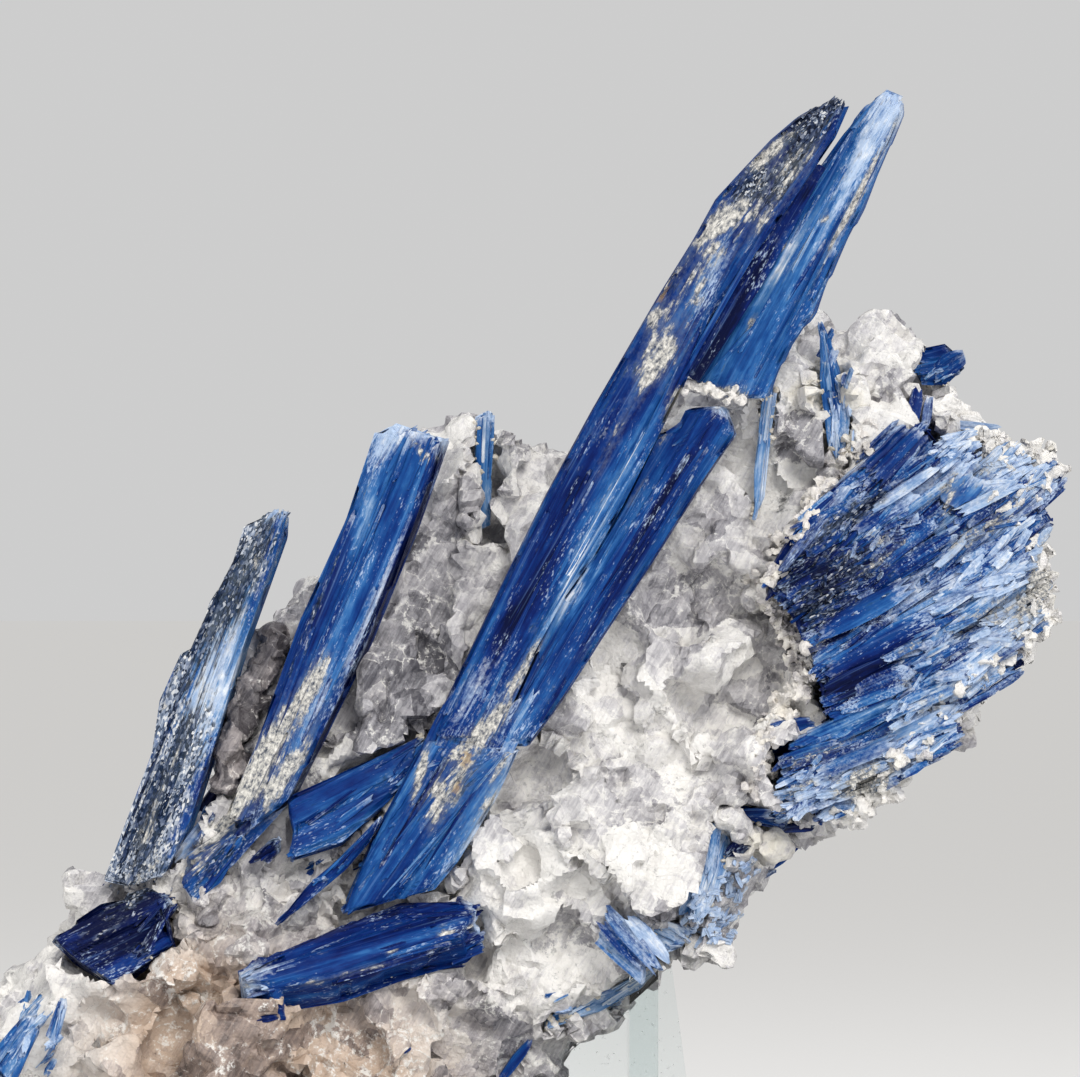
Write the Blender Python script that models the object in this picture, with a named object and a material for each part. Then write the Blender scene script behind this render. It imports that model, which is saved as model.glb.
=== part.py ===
"""Kyanite blade cluster: blue kyanite blades grown in a slab of broken quartz, on a clear acrylic stand.

Sizes are in millimetres and become metres when a mesh is made. X is to the viewer's right, +Y is away
from the viewer and +Z is up. The origin is the middle of the stand's underside.
"""

import math
import random

import bmesh
import bpy
from mathutils import Matrix, Vector

MM = 0.001
GAP = 0.35  # free space that a solid keeps to its neighbour
SEED = 11

# The stand: a plate, with two upright plates that cross in a halving joint.
PLATE = Vector((118.0, 78.0, 8.0))
PLATE_EDGE = 1.6
UPRIGHT_THICK = 4.0
RIB_LEFT = 17.4
RIB_DEPTH = 44.0
SLOT_PLAY = 0.35
UPRIGHT_LEFT = -4.0
UPRIGHT_FOOT_RIGHT = 28.0
UPRIGHT_TOP_RIGHT = 23.0
STAND_TOP = 47.0
SLOT_LEVEL = 20.0
ON_STAND = ("rim_blade_curved", "rim_blade_flat")  # blades low enough to meet the uprights

# The quartz slab: half depth at its middle, and how it thins towards its rim.
FOOT_LEVEL = PLATE.z + GAP
SLAB_BACK = 19.0
SLAB_FRONT = -16.0
RIM_DEPTH = 2.0
GRAIN = 13.0  # spacing of the quartz grains
GRAIN_RADIUS = 9.5
GRAIN_CUTS = 11
QUARTZ_VOXEL = 1.5
QUARTZ_FACES_KEPT = 0.085  # share of the fused mesh's faces that is kept, as broken flats

QUARTZ_OUTLINE = [
    (-77.5, 33.5), (-70, 40.5), (-64, 46), (-56, 53), (-49, 57), (-41.5, 68), (-36.5, 80), (-33.5, 90.5),
    (-29.5, 95.5), (-23.5, 98.5), (-14.5, 111), (-10.5, 118.5), (-6, 121), (-1, 118), (6, 115), (13.5, 115.5),
    (27, 125), (37.5, 132), (43, 136), (46, 131), (48.5, 131), (52, 134.5), (55.5, 133.5), (59, 129),
    (64, 122), (69, 116.5), (75, 112.5), (74, 103), (75.5, 94.5), (72.5, 87.5), (67, 80.5), (61, 74.5),
    (55, 70.5), (53.5, 66.5), (49.5, 63), (41, 59.5), (37.5, 55.5), (32, 48), (26, 45), (21.5, 42),
    (16, 37), (10, 32), (5, 28), (-0.5, 21.5), (-10.5, 14), (-23, 7), (-43.5, 6), (-59, 12),
    (-73, 21), (-78.5, 28),
]

# Where the broken face of the slab stands proud or falls back: centre, reach and depth.
SWELLS = [
    ((12, 60), 24, -4.0),
    ((-40, 24), 26, -5.0),
    ((-18, 94), 24, 7.0),
    ((-44, 60), 18, 6.0),
    ((60, 92), 22, 6.0),
    ((46, 122), 14, 3.0),
]


class Crystal:
    """One kyanite blade: its outline seen from the front, the depth of its face, and its thickness."""

    def __init__(self, name, outline, root, tip, depth, thick, turn=0.0, ridges=(), edge=0.7, after=(),
                 face_only=False):
        self.name = name
        self.outline = outline
        self.root = Vector(root)
        self.tip = Vector(tip)
        self.depth = depth
        self.thick = thick
        self.turn = math.radians(turn)
        self.ridges = ridges
        self.edge = edge
        self.after = after
        self.face_only = face_only


# root and tip are points on the blade's middle line, and depth is the Y of its face at those two points.
# turn swings the face to the right about that line, which shows the side wall on the left, and a negative
# one shows the wall on the right. The outline holds that wall too, unless it is the outline of the face only.
# A ridge is an offset across the face and a height.
CRYSTALS = [
    Crystal(
        "main_blade",
        [(-10.2, 75.5), (-8.8, 78.5), (-1.5, 94), (5.5, 108.5), (12, 120.5), (21, 136), (26, 144),
         (29, 149.5), (33, 153.7), (36.8, 157.6), (40.5, 160.6), (46.3, 164.2), (47.2, 163.5),
         (45.8, 158.5), (35, 143), (29.6, 135.5), (24.8, 124.5), (16.4, 107.5), (12.2, 100.2), (7, 93),
         (-1, 75)],
        (-5, 77), (45, 161), (-25.5, -33), 7.5, turn=7, ridges=[(-2.6, -0.9), (1.4, 0.7)],
    ),
    Crystal(
        "tall_side_blade",
        [(25.4, 123.5), (30.4, 135), (36, 143.5), (41.4, 151), (46.8, 158.5), (50.2, 163), (52.4, 164.8),
         (55.2, 164.2), (55.4, 162), (49.6, 148), (46, 141), (43, 133.5), (39.5, 129), (36.5, 122),
         (32, 121.5)],
        (31.5, 122), (54, 164), (-26.5, -32), 6.0, turn=-6, ridges=[(-0.5, 0.6)], after=("main_blade",),
    ),
    Crystal(
        "low_side_blade",
        [(-1, 74.4), (6.4, 92.5), (11.6, 100.2), (15.8, 106.8), (20.4, 117.4), (24, 118), (25.4, 121),
         (30.8, 121), (32.2, 117.3), (27.3, 110.2), (21, 100.3), (13.5, 89), (8, 80.5), (3, 73.8)],
        (2, 75), (29, 119), (-25.2, -27.6), 6.5, turn=-9, ridges=[(0.8, 0.5)],
        after=("main_blade", "tall_side_blade"),
    ),
    Crystal(
        "foot_blade",
        [(-23, 50.5), (-18.5, 61), (-11, 75.2), (-4, 75.4), (2, 73.6), (-1.2, 66.5), (-6.4, 58), (-9.6, 54.2),
         (-15, 53)],
        (-17, 52), (-3, 73), (-22.5, -25), 6.0, turn=6, ridges=[(-1.2, 0.6), (2.2, -0.3)],
        after=("main_blade", "low_side_blade"),
    ),
    Crystal(
        "left_blade",
        [(-39, 63.5), (-34, 75.5), (-28.5, 91.5), (-22, 105.5), (-18, 118), (-14.5, 119.5), (-7.5, 117),
         (-12, 104), (-18.5, 88), (-25, 75), (-29.5, 66.5), (-35.5, 62)],
        (-35, 64), (-12.5, 118), (-19.5, -24), 6.0, turn=-14, ridges=[(-1.6, 0.5), (1.8, 0.3)],
    ),
    Crystal(
        "coated_blade",
        [(-56, 54.5), (-49, 73), (-48, 80.5), (-45, 87), (-42.5, 88), (-41, 94), (-38, 98.5), (-36, 105),
         (-32, 107), (-30, 107.5), (-30.5, 103), (-36, 87.5), (-40, 73.5), (-43.5, 62.5), (-47, 55.5),
         (-52, 54)],
        (-52, 56), (-31, 106), (-15, -18.5), 6.5, turn=-6, ridges=[(0.4, 0.9)],
    ),
    Crystal(
        "needle_blade",
        [(-4, 121), (-1.2, 121), (-1.5, 115.5), (-2, 104), (-3.8, 103.5), (-4.6, 108.5)],
        (-3, 104), (-2.6, 121), (-11, -12), 2.2, turn=12, edge=0.3,
    ),
    Crystal(
        "cross_blade",
        [(-30.5, 67), (-21.5, 71), (-11, 75.5), (-11.5, 71.5), (-16, 66), (-22, 60.5), (-30, 58),
         (-29.5, 62.5)],
        (-30, 62.5), (-11, 72), (-20.5, -18), 4.5, turn=-10, ridges=[(0.5, 0.4)],
        after=("main_blade", "foot_blade", "left_blade"),
    ),
    Crystal(
        "sliver_blade",
        [(-32, 49), (-27, 55), (-20, 61), (-14.5, 67), (-15.5, 64.5), (-22, 57), (-28.5, 51.5)],
        (-32, 49), (-14.5, 67), (-21.5, -21.5), 3.0, edge=0.2, after=("foot_blade", "cross_blade"),
    ),
    Crystal(
        "low_blade",
        [(-37.5, 41.5), (-33.5, 44.6), (-22, 49.8), (-14.5, 53), (-3, 53), (-3, 51.5), (-5.5, 48),
         (-14.5, 45.5), (-23, 42.5), (-32, 41)],
        (-36, 42.5), (-3, 50.5), (-25.5, -23.5), 7.0, turn=-34, ridges=[(0.6, 0.7)],
        after=("foot_blade", "sliver_blade"), face_only=True,
    ),
    Crystal(
        "corner_blade",
        [(-63.5, 47), (-56, 52), (-49, 54.5), (-45.5, 53.5), (-47.5, 50), (-45.5, 47), (-54.5, 41),
         (-59.5, 44)],
        (-62, 45), (-47, 51), (-19, -19), 6.5, turn=-12, ridges=[(0.5, 0.6)], after=("coated_blade",),
        face_only=True,
    ),
    Crystal(
        "root_blade",
        [(-45.5, 55), (-41.5, 59.5), (-37.5, 62), (-36, 61.5), (-39.5, 55), (-43.5, 52)],
        (-44, 53), (-37, 62), (-16.5, -18), 4.0, edge=0.3,
        after=("left_blade", "coated_blade", "corner_blade"),
    ),
    Crystal(
        "dark_stub",
        [(-35, 58.5), (-32.5, 61.2), (-31, 61.5), (-31, 59.5), (-33, 57.5)],
        (-35, 58), (-31, 62), (-19.5, -19.5), 4.0, edge=0.3, after=("left_blade", "cross_blade"),
    ),
    Crystal(
        "corner_rod_long",
        [(-72, 30.5), (-67, 36.5), (-65, 37), (-64.5, 34.5), (-68.5, 26.5)],
        (-70.5, 28.5), (-65.5, 36.5), (-21.5, -22.5), 3.0, edge=0.4,
    ),
    Crystal(
        "corner_rod_short",
        [(-63.8, 33.5), (-61.5, 39.5), (-60.3, 39), (-62.3, 32.5)],
        (-63, 33), (-61, 39), (-22.5, -22.5), 2.0, edge=0.25, after=("corner_rod_long",),
    ),
    Crystal(
        "rim_stub",
        [(57, 127), (58, 129.5), (62.5, 130.5), (64, 129), (65, 127), (62, 124.5), (58, 124.5)],
        (58, 126.5), (64.5, 128.5), (-5, -5), 5.5,
    ),
    Crystal(
        "pale_blade",
        [(44.2, 133), (46.7, 127), (48.2, 119.5), (47, 112.5), (45, 116.5), (44, 125)],
        (46.5, 113), (45.2, 132), (-17.5, -14.5), 2.5, edge=0.3,
    ),
    Crystal(
        "pale_needle",
        [(36.2, 125), (38.2, 124.5), (37.2, 118), (36.2, 108.5), (34.8, 105.5), (34.8, 112.5)],
        (35.5, 106), (37.2, 125), (-18.5, -17.5), 2.0, edge=0.2, after=("tall_side_blade",),
    ),
    Crystal(
        "rim_blade_curved",
        [(14, 52.5), (19, 49.6), (27, 48.6), (26, 46), (21.5, 44.5), (16.5, 47.5)],
        (15, 51), (26.5, 47.5), (-16.5, -12.5), 3.0, edge=0.4,
    ),
    Crystal(
        "rim_blade_flat",
        [(5.5, 36), (13.5, 39), (21, 43.6), (21.6, 42.8), (19, 40), (13.5, 37), (6, 34.5)],
        (6, 35.3), (21, 43), (-14.5, -9.5), 3.0, edge=0.3, after=("rim_blade_curved",),
    ),
    Crystal(
        "rim_blade_upright",
        [(27.8, 61.5), (31, 63), (32.3, 59), (28.5, 51), (26.5, 49.4), (26.2, 55)],
        (27.5, 50.5), (30.5, 62), (-16, -15), 3.0, edge=0.4, after=("rim_blade_curved",),
    ),
    Crystal(
        "rim_blade_thin",
        [(29.5, 64.8), (33.5, 65.8), (40.5, 63.6), (40, 62), (34, 63.4)],
        (30, 64.5), (40.5, 63), (-15.5, -13.5), 3.0, edge=0.3, after=("rim_blade_upright",),
    ),
    Crystal(
        "back_blade_long",
        [(-18, 44), (-13, 46), (22, 92), (26, 101), (20, 99), (-14, 54)],
        (-15, 46), (23, 98), (25.5, 26.5), -7.0, turn=6, ridges=[(0.6, -0.6)],
    ),
    Crystal(
        "back_blade_short",
        [(-44, 40), (-38, 37), (-24, 66), (-26, 73), (-31, 70)],
        (-40, 40), (-27, 71), (22.5, 24.5), -6.0, turn=-8, ridges=[(0.3, -0.5)],
    ),
]

# The fan: a sheaf of short blades grown side by side on the slab's right flank.
FAN_OUTLINE = [
    (35.5, 95.5), (41, 103), (48, 111), (52, 116.5), (55.5, 119.5), (61, 118), (66, 116), (73, 115.5),
    (77.5, 114.5), (78, 111.5), (76, 107), (74.5, 102), (76.5, 98), (75.5, 93), (73, 87.5), (67, 80.5),
    (61, 74.5), (55, 70.5), (51, 68.5), (45.5, 64), (41.5, 64.5), (37.5, 67.5), (38, 71.5), (44.5, 75),
    (43, 82), (40.5, 88), (39, 93),
]
FAN_TILT_TOP = 44.0  # degrees above the horizon of the sheaf's highest blade
FAN_TILT = 31.0
FAN_ROWS = 11
FAN_MIDDLE = Vector((58.0, 93.0))
FAN_REACH = 30.0
FAN_CREST = -24.0
FAN_EDGE_DEPTH = -15.0
FAN_BACK = -8.0


def outline_point(x, z, depth):
    """A point given from the front, in millimetres, as metres."""
    return Vector((x, depth, z)) * MM


def link(mesh_name, bm, material):
    """A new object in the scene from a bmesh."""
    bmesh.ops.recalc_face_normals(bm, faces=bm.faces)
    mesh = bpy.data.meshes.new(mesh_name)
    bm.to_mesh(mesh)
    bm.free()
    obj = bpy.data.objects.new(mesh_name, mesh)
    if material:
        mesh.materials.append(material)
    bpy.context.scene.collection.objects.link(obj)
    return obj


def helper(obj):
    """Marks a cutter: drawn as wire and left out of the part."""
    obj.hide_render = True
    obj.display_type = "WIRE"
    return obj


def finish(name, colour, roughness, alpha=1.0):
    """A Principled material of one colour, for telling the pieces apart."""
    material = bpy.data.materials.new(name)
    material.use_nodes = True
    shader = material.node_tree.nodes["Principled BSDF"]
    shader.inputs["Base Color"].default_value = (*colour, 1.0)
    shader.inputs["Roughness"].default_value = roughness
    shader.inputs["Metallic"].default_value = 0.0
    shader.inputs["Alpha"].default_value = alpha
    return material


def grown(bm, amount):
    """Moves every wall of a closed mesh out by the same distance."""
    bmesh.ops.recalc_face_normals(bm, faces=bm.faces)
    bm.normal_update()
    moves = [(v, v.normal * amount * MM * v.calc_shell_factor()) for v in bm.verts]
    for vert, move in moves:
        vert.co += move


def crystal_axes(crystal):
    """The blade's length, its face's outward normal, and the direction across the face."""
    root = outline_point(*crystal.root, crystal.depth[0])
    tip = outline_point(*crystal.tip, crystal.depth[1])
    along = (tip - root).normalized()
    outward = Vector((0, -1, 0)) if crystal.thick > 0 else Vector((0, 1, 0))
    outward = (outward - along * outward.dot(along)).normalized()
    outward.rotate(Matrix.Rotation(crystal.turn, 3, along))
    return root, along, outward, along.cross(outward)


def face_outline(crystal):
    """The outline with room left on one side for the side wall that a turned blade shows."""
    if crystal.face_only:
        return crystal.outline
    along = (crystal.tip - crystal.root).normalized()
    side = Vector((along.y, -along.x))
    wall = abs(crystal.thick) * math.sin(crystal.turn)
    offsets = [Vector(point).dot(side) for point in crystal.outline]
    fixed = max(offsets) if wall > 0 else min(offsets)
    width = max(offsets) - min(offsets)
    return [
        Vector(point) + side * wall * abs(fixed - offset) / width
        for point, offset in zip(crystal.outline, offsets)
    ]


def crystal_mesh(crystal, grow=0.0, open_front=0.0):
    """The outline laid on the tilted face plane, made thick, ridged and chamfered."""
    root, along, outward, across = crystal_axes(crystal)
    bm = bmesh.new()
    corners = []
    for x, z in face_outline(crystal):
        flat = outline_point(x, z, 0)
        slide = (root - flat).dot(outward) / outward.y
        corners.append(bm.verts.new(flat + Vector((0, slide, 0))))
    bm.faces.new(corners)
    thick = abs(crystal.thick) * MM
    made = bmesh.ops.extrude_face_region(bm, geom=bm.faces[:])
    back = [g for g in made["geom"] if isinstance(g, bmesh.types.BMVert)]
    bmesh.ops.translate(bm, vec=-outward * thick, verts=back)
    bmesh.ops.recalc_face_normals(bm, faces=bm.faces)
    for offset, _height in crystal.ridges:
        bmesh.ops.bisect_plane(
            bm, geom=bm.verts[:] + bm.edges[:] + bm.faces[:], dist=1e-6,
            plane_co=root + across * offset * MM, plane_no=across,
        )
    front = [v for v in bm.verts if (v.co - root).dot(outward) > -0.5 * thick]
    for offset, height in crystal.ridges:
        for vert in front:
            if abs((vert.co - root).dot(across) - offset * MM) < 1e-5:
                vert.co += outward * abs(height) * MM
    bm.normal_update()
    rim = [
        e for e in bm.edges
        if all(v in front for v in e.verts)
        and len(e.link_faces) == 2
        and e.link_faces[0].normal.angle(e.link_faces[1].normal) > math.radians(40)
    ]
    bmesh.ops.bevel(
        bm, geom=rim, offset=crystal.edge * MM, affect="EDGES", segments=1, profile=0.5,
        material=-1, clamp_overlap=True,
    )
    bmesh.ops.remove_doubles(bm, verts=bm.verts, dist=0.02 * MM)
    if grow:
        grown(bm, grow)
    if open_front:
        bm.normal_update()
        for vert in bm.verts:
            if (vert.co - root).dot(outward) > -0.5 * thick:
                vert.co += outward * open_front * MM
    return bm


def inside(outline, x, z):
    """Whether a point lies inside an outline."""
    found = False
    for (x0, z0), (x1, z1) in zip(outline, outline[1:] + outline[:1]):
        if (z0 > z) != (z1 > z) and x < (x1 - x0) * (z - z0) / (z1 - z0) + x0:
            found = not found
    return found


def rim_distance(outline, x, z):
    """How far a point is from an outline's nearest side."""
    point = Vector((x, z))
    nearest = math.inf
    for start, end in zip(outline, outline[1:] + outline[:1]):
        a, b = Vector(start), Vector(end)
        share = max(0.0, min(1.0, (point - a).dot(b - a) / (b - a).length_squared))
        nearest = min(nearest, (point - a.lerp(b, share)).length)
    return nearest


def row_span(outline, point, direction):
    """The first and last place where a line through point crosses an outline."""
    normal = Vector((-direction.y, direction.x))
    crossings = []
    for start, end in zip(outline, outline[1:] + outline[:1]):
        a, b = Vector(start) - point, Vector(end) - point
        if (a.dot(normal) > 0) != (b.dot(normal) > 0):
            share = a.dot(normal) / (a.dot(normal) - b.dot(normal))
            crossings.append(a.lerp(b, share).dot(direction))
    return (min(crossings), max(crossings)) if crossings else None


def face_depth(x, z):
    """Depth of the quartz's broken front face, before its grains."""
    depth = SLAB_FRONT
    for centre, reach, rise in SWELLS:
        away = (Vector((x, z)) - Vector(centre)).length / reach
        depth += rise * math.exp(-2.0 * away * away)
    return depth


def dome(distance, reach=17.0):
    """Share of the full depth that is left at this distance from the rim."""
    share = min(1.0, max(0.0, distance / reach))
    return math.sqrt(1.0 - (1.0 - share) ** 2)


def quartz_core(bm):
    """The slab without its grains: the outline, thinned in steps towards its rim."""
    rim = [bm.verts.new(outline_point(x, z, RIM_DEPTH)) for x, z in QUARTZ_OUTLINE]
    middle = bm.faces.new(rim)
    made = bmesh.ops.extrude_face_region(bm, geom=[middle])
    back = [g for g in made["geom"] if isinstance(g, bmesh.types.BMFace)][0]
    for face, level in ((middle, SLAB_FRONT), (back, SLAB_BACK)):
        bmesh.ops.translate(bm, vec=Vector((0, (level * 0.45 - RIM_DEPTH) * MM, 0)), verts=face.verts)
    for face, level in ((middle, SLAB_FRONT), (back, SLAB_BACK)):
        for width, share in ((3.5, 0.3), (4.5, 0.12)):
            bmesh.ops.inset_region(bm, faces=[face], thickness=width * MM, use_even_offset=True)
            bmesh.ops.translate(bm, vec=Vector((0, level * share * MM, 0)), verts=face.verts)


def quartz_grain(whole, centre, radius, rng):
    """One grain with broken flats: a cube cut by planes that touch a ball."""
    bm = bmesh.new()
    bmesh.ops.create_cube(bm, size=2.2 * radius * MM)
    for _cut in range(GRAIN_CUTS):
        normal = Vector((rng.gauss(0, 1), rng.gauss(0, 1), rng.gauss(0, 1))).normalized()
        cut = bmesh.ops.bisect_plane(
            bm, geom=bm.verts[:] + bm.edges[:] + bm.faces[:], dist=1e-6,
            plane_co=normal * radius * rng.uniform(0.62, 0.95) * MM, plane_no=normal, clear_outer=True,
        )
        cut_edges = [g for g in cut["geom_cut"] if isinstance(g, bmesh.types.BMEdge)]
        bmesh.ops.contextual_create(bm, geom=cut_edges)
    bmesh.ops.translate(bm, vec=centre, verts=bm.verts)
    bmesh.ops.recalc_face_normals(bm, faces=bm.faces)
    grain = bpy.data.meshes.new("grain")
    bm.to_mesh(grain)
    bm.free()
    whole.from_mesh(grain)
    bpy.data.meshes.remove(grain)


def quartz_places(rng):
    """Where the grains sit on both faces: a jittered honeycomb inside the outline."""
    low_x, high_x = min(p[0] for p in QUARTZ_OUTLINE), max(p[0] for p in QUARTZ_OUTLINE)
    low_z, high_z = min(p[1] for p in QUARTZ_OUTLINE), max(p[1] for p in QUARTZ_OUTLINE)
    rise = GRAIN * math.sqrt(3) / 2
    for row in range(int((high_z - low_z) / rise) + 1):
        for column in range(int((high_x - low_x) / GRAIN) + 1):
            x = low_x + (column + 0.5 * (row % 2)) * GRAIN + rng.uniform(-2.5, 2.5)
            z = low_z + row * rise + rng.uniform(-2.5, 2.5)
            room = rim_distance(QUARTZ_OUTLINE, x, z)
            if not inside(QUARTZ_OUTLINE, x, z) or room < 3.0:
                continue
            radius = min(GRAIN_RADIUS * rng.uniform(0.8, 1.15), room + 2.5)
            front = RIM_DEPTH + (face_depth(x, z) - RIM_DEPTH) * dome(room)
            back = RIM_DEPTH + (SLAB_BACK - RIM_DEPTH) * dome(room)
            yield outline_point(x, z, front + radius * 0.62), radius
            yield outline_point(x, z, back - radius * 0.55), radius


def quartz_body():
    """The slab: its core and grains fused, and cut flat where it stands on the plate."""
    rng = random.Random(SEED)
    bm = bmesh.new()
    quartz_core(bm)
    for centre, radius in quartz_places(rng):
        quartz_grain(bm, centre, radius, rng)
    obj = link("quartz_matrix", bm, finish("quartz", (0.66, 0.65, 0.66), 0.3))
    fuse = obj.modifiers.new("fuse grains", "REMESH")
    fuse.mode = "VOXEL"
    fuse.voxel_size = QUARTZ_VOXEL * MM
    fewer = obj.modifiers.new("broken flats", "DECIMATE")
    fewer.ratio = QUARTZ_FACES_KEPT
    return apply_modifiers(obj)


def apply_modifiers(obj):
    """Gives an object the mesh that its modifiers make."""
    graph = bpy.context.evaluated_depsgraph_get()
    mesh = bpy.data.meshes.new_from_object(obj.evaluated_get(graph))
    obj.modifiers.clear()
    obj.data = mesh
    return obj


def flat_foot(obj):
    """Cuts the quartz level just above the stand's plate."""
    bm = bmesh.new()
    bm.from_mesh(obj.data)
    cut = bmesh.ops.bisect_plane(
        bm, geom=bm.verts[:] + bm.edges[:] + bm.faces[:], dist=1e-6,
        plane_co=Vector((0, 0, FOOT_LEVEL * MM)), plane_no=Vector((0, 0, -1)), clear_outer=True,
    )
    bmesh.ops.holes_fill(bm, edges=[g for g in cut["geom_cut"] if isinstance(g, bmesh.types.BMEdge)])
    bmesh.ops.triangulate(bm, faces=bm.faces)
    bm.to_mesh(obj.data)
    bm.free()


def cut_by(obj, cutters, name):
    """Boolean differences, one for each cutter."""
    for index, cutter in enumerate(cutters):
        modifier = obj.modifiers.new(f"{name} {index}", "BOOLEAN")
        modifier.operation = "DIFFERENCE"
        modifier.solver = "EXACT"
        modifier.object = cutter


def fan_depth(point):
    """Depth of the fan's front at a place: a low dome."""
    away = min(1.0, (point - FAN_MIDDLE).length / FAN_REACH)
    return FAN_EDGE_DEPTH + (FAN_CREST - FAN_EDGE_DEPTH) * math.sqrt(1.0 - away * away)


def fan_rows(rng):
    """Start, end, width, and front and back depth of each blade of the sheaf, from the lowest up."""
    base = Vector((math.cos(math.radians(FAN_TILT)), math.sin(math.radians(FAN_TILT))))
    side = Vector((-base.y, base.x))
    offsets = [(Vector(p) - FAN_MIDDLE).dot(side) for p in FAN_OUTLINE]
    step = (max(offsets) - min(offsets)) / FAN_ROWS
    for row in range(FAN_ROWS):
        share = (row + 0.5) / FAN_ROWS
        steep = FAN_TILT + (FAN_TILT_TOP - FAN_TILT) * max(0.0, share * 2.4 - 1.4)
        direction = Vector((math.cos(math.radians(steep)), math.sin(math.radians(steep))))
        middle = FAN_MIDDLE + side * (min(offsets) + step * (row + 0.5))
        span = row_span(FAN_OUTLINE, middle, direction)
        if not span or span[1] - span[0] < 5.0:
            continue
        split = rng.uniform(0.4, 0.62)
        for first, last in ((0.0, split + 0.12), (split, 1.0)):
            start = middle + direction * (span[0] + (span[1] - span[0]) * first)
            end = middle + direction * (span[0] + (span[1] - span[0]) * last)
            front = fan_depth((start + end) / 2) + rng.uniform(-1.4, 1.4)
            yield start, end, step * rng.uniform(1.2, 1.5), front, FAN_BACK + rng.uniform(-1.6, 1.6)


def lath_mesh(start, end, width, depth, back, grow=0.0):
    """A straight blade from start to end, reaching from its face back into the slab."""
    direction = (end - start).normalized()
    side = Vector((-direction.y, direction.x))
    bm = bmesh.new()
    corners = []
    for point, across in ((start, -0.5), (end, -0.42), (end, 0.36), (start, 0.5)):
        place = point + side * width * across
        corners.append(bm.verts.new(outline_point(place.x, place.y, depth)))
    bm.faces.new(corners)
    made = bmesh.ops.extrude_face_region(bm, geom=bm.faces[:])
    far = [g for g in made["geom"] if isinstance(g, bmesh.types.BMVert)]
    bmesh.ops.translate(bm, vec=Vector((0, (back - depth) * MM, 0)), verts=far)
    bmesh.ops.recalc_face_normals(bm, faces=bm.faces)
    if grow:
        grown(bm, grow)
    return bm


def fused(name, parts, material):
    """One solid from overlapping ones, by Boolean unions."""
    whole = link(name, parts[0], material)
    others = [helper(link(f"{name} piece {index}", bm, material)) for index, bm in enumerate(parts[1:])]
    for index, other in enumerate(others):
        modifier = whole.modifiers.new(f"join {index}", "BOOLEAN")
        modifier.operation = "UNION"
        modifier.solver = "EXACT"
        modifier.object = other
    apply_modifiers(whole)
    for other in others:
        bpy.data.objects.remove(other)
    return whole


def blade_fan(name, material, grow=0.0):
    """The sheaf of blades as one solid."""
    rng = random.Random(SEED + 1)
    parts = [lath_mesh(*blade, grow) for blade in fan_rows(rng)]
    return fused(name, parts, material)


def block(name, low, high, material):
    """A box between two corners."""
    bm = bmesh.new()
    bmesh.ops.create_cube(bm, size=1.0)
    size, middle = Vector(high) - Vector(low), (Vector(high) + Vector(low)) / 2
    bmesh.ops.scale(bm, vec=size * MM, verts=bm.verts)
    bmesh.ops.translate(bm, vec=middle * MM, verts=bm.verts)
    return link(name, bm, material)


def polished(obj, width):
    """Small flats along a plate's upper edges."""
    bm = bmesh.new()
    bm.from_mesh(obj.data)
    top = max(v.co.z for v in bm.verts)
    edges = [e for e in bm.edges if all(v.co.z > top - 1e-6 for v in e.verts)]
    bmesh.ops.bevel(
        bm, geom=edges, offset=width * MM, affect="EDGES", segments=2, profile=0.5, material=-1,
    )
    bm.to_mesh(obj.data)
    bm.free()


def stand(rooms):
    """The plate and the two crossed uprights, whose tops are cut to fit what rests on them."""
    clear = finish("clear acrylic", (0.86, 0.9, 0.92), 0.05, alpha=0.35)
    half = PLATE / 2
    plate = block("stand_plate", (-half.x, -half.y, 0), (half.x, half.y, PLATE.z), clear)
    polished(plate, PLATE_EDGE)

    bm = bmesh.new()
    floor = PLATE.z + GAP
    profile = [
        (UPRIGHT_LEFT, floor), (UPRIGHT_FOOT_RIGHT, floor),
        (UPRIGHT_TOP_RIGHT, STAND_TOP), (UPRIGHT_LEFT, STAND_TOP),
    ]
    bm.faces.new([bm.verts.new(outline_point(x, z, -UPRIGHT_THICK / 2)) for x, z in profile])
    made = bmesh.ops.extrude_face_region(bm, geom=bm.faces[:])
    far = [g for g in made["geom"] if isinstance(g, bmesh.types.BMVert)]
    bmesh.ops.translate(bm, vec=Vector((0, UPRIGHT_THICK * MM, 0)), verts=far)
    upright = link("stand_upright", bm, clear)

    rib_right = RIB_LEFT + UPRIGHT_THICK
    rib = block(
        "stand_rib", (RIB_LEFT, -RIB_DEPTH / 2, floor), (rib_right, RIB_DEPTH / 2, STAND_TOP), clear,
    )

    wide = UPRIGHT_THICK / 2 + SLOT_PLAY
    lower_slot = helper(block(
        "upright slot", (RIB_LEFT - SLOT_PLAY, -wide * 2, floor - 2),
        (rib_right + SLOT_PLAY, wide * 2, SLOT_LEVEL), None,
    ))
    upper_slot = helper(block(
        "rib slot", (RIB_LEFT - 3, -wide, SLOT_LEVEL - 0.7), (rib_right + 3, wide, STAND_TOP + 5), None,
    ))
    cut_by(upright, [lower_slot, *rooms], "fit")
    cut_by(rib, [upper_slot, *rooms], "fit")


def room_around(obj, amount):
    """A cutter a little larger than an object on every side."""
    bm = bmesh.new()
    bm.from_mesh(obj.data)
    grown(bm, amount)
    return helper(link(f"{obj.name} room", bm, None))


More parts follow.
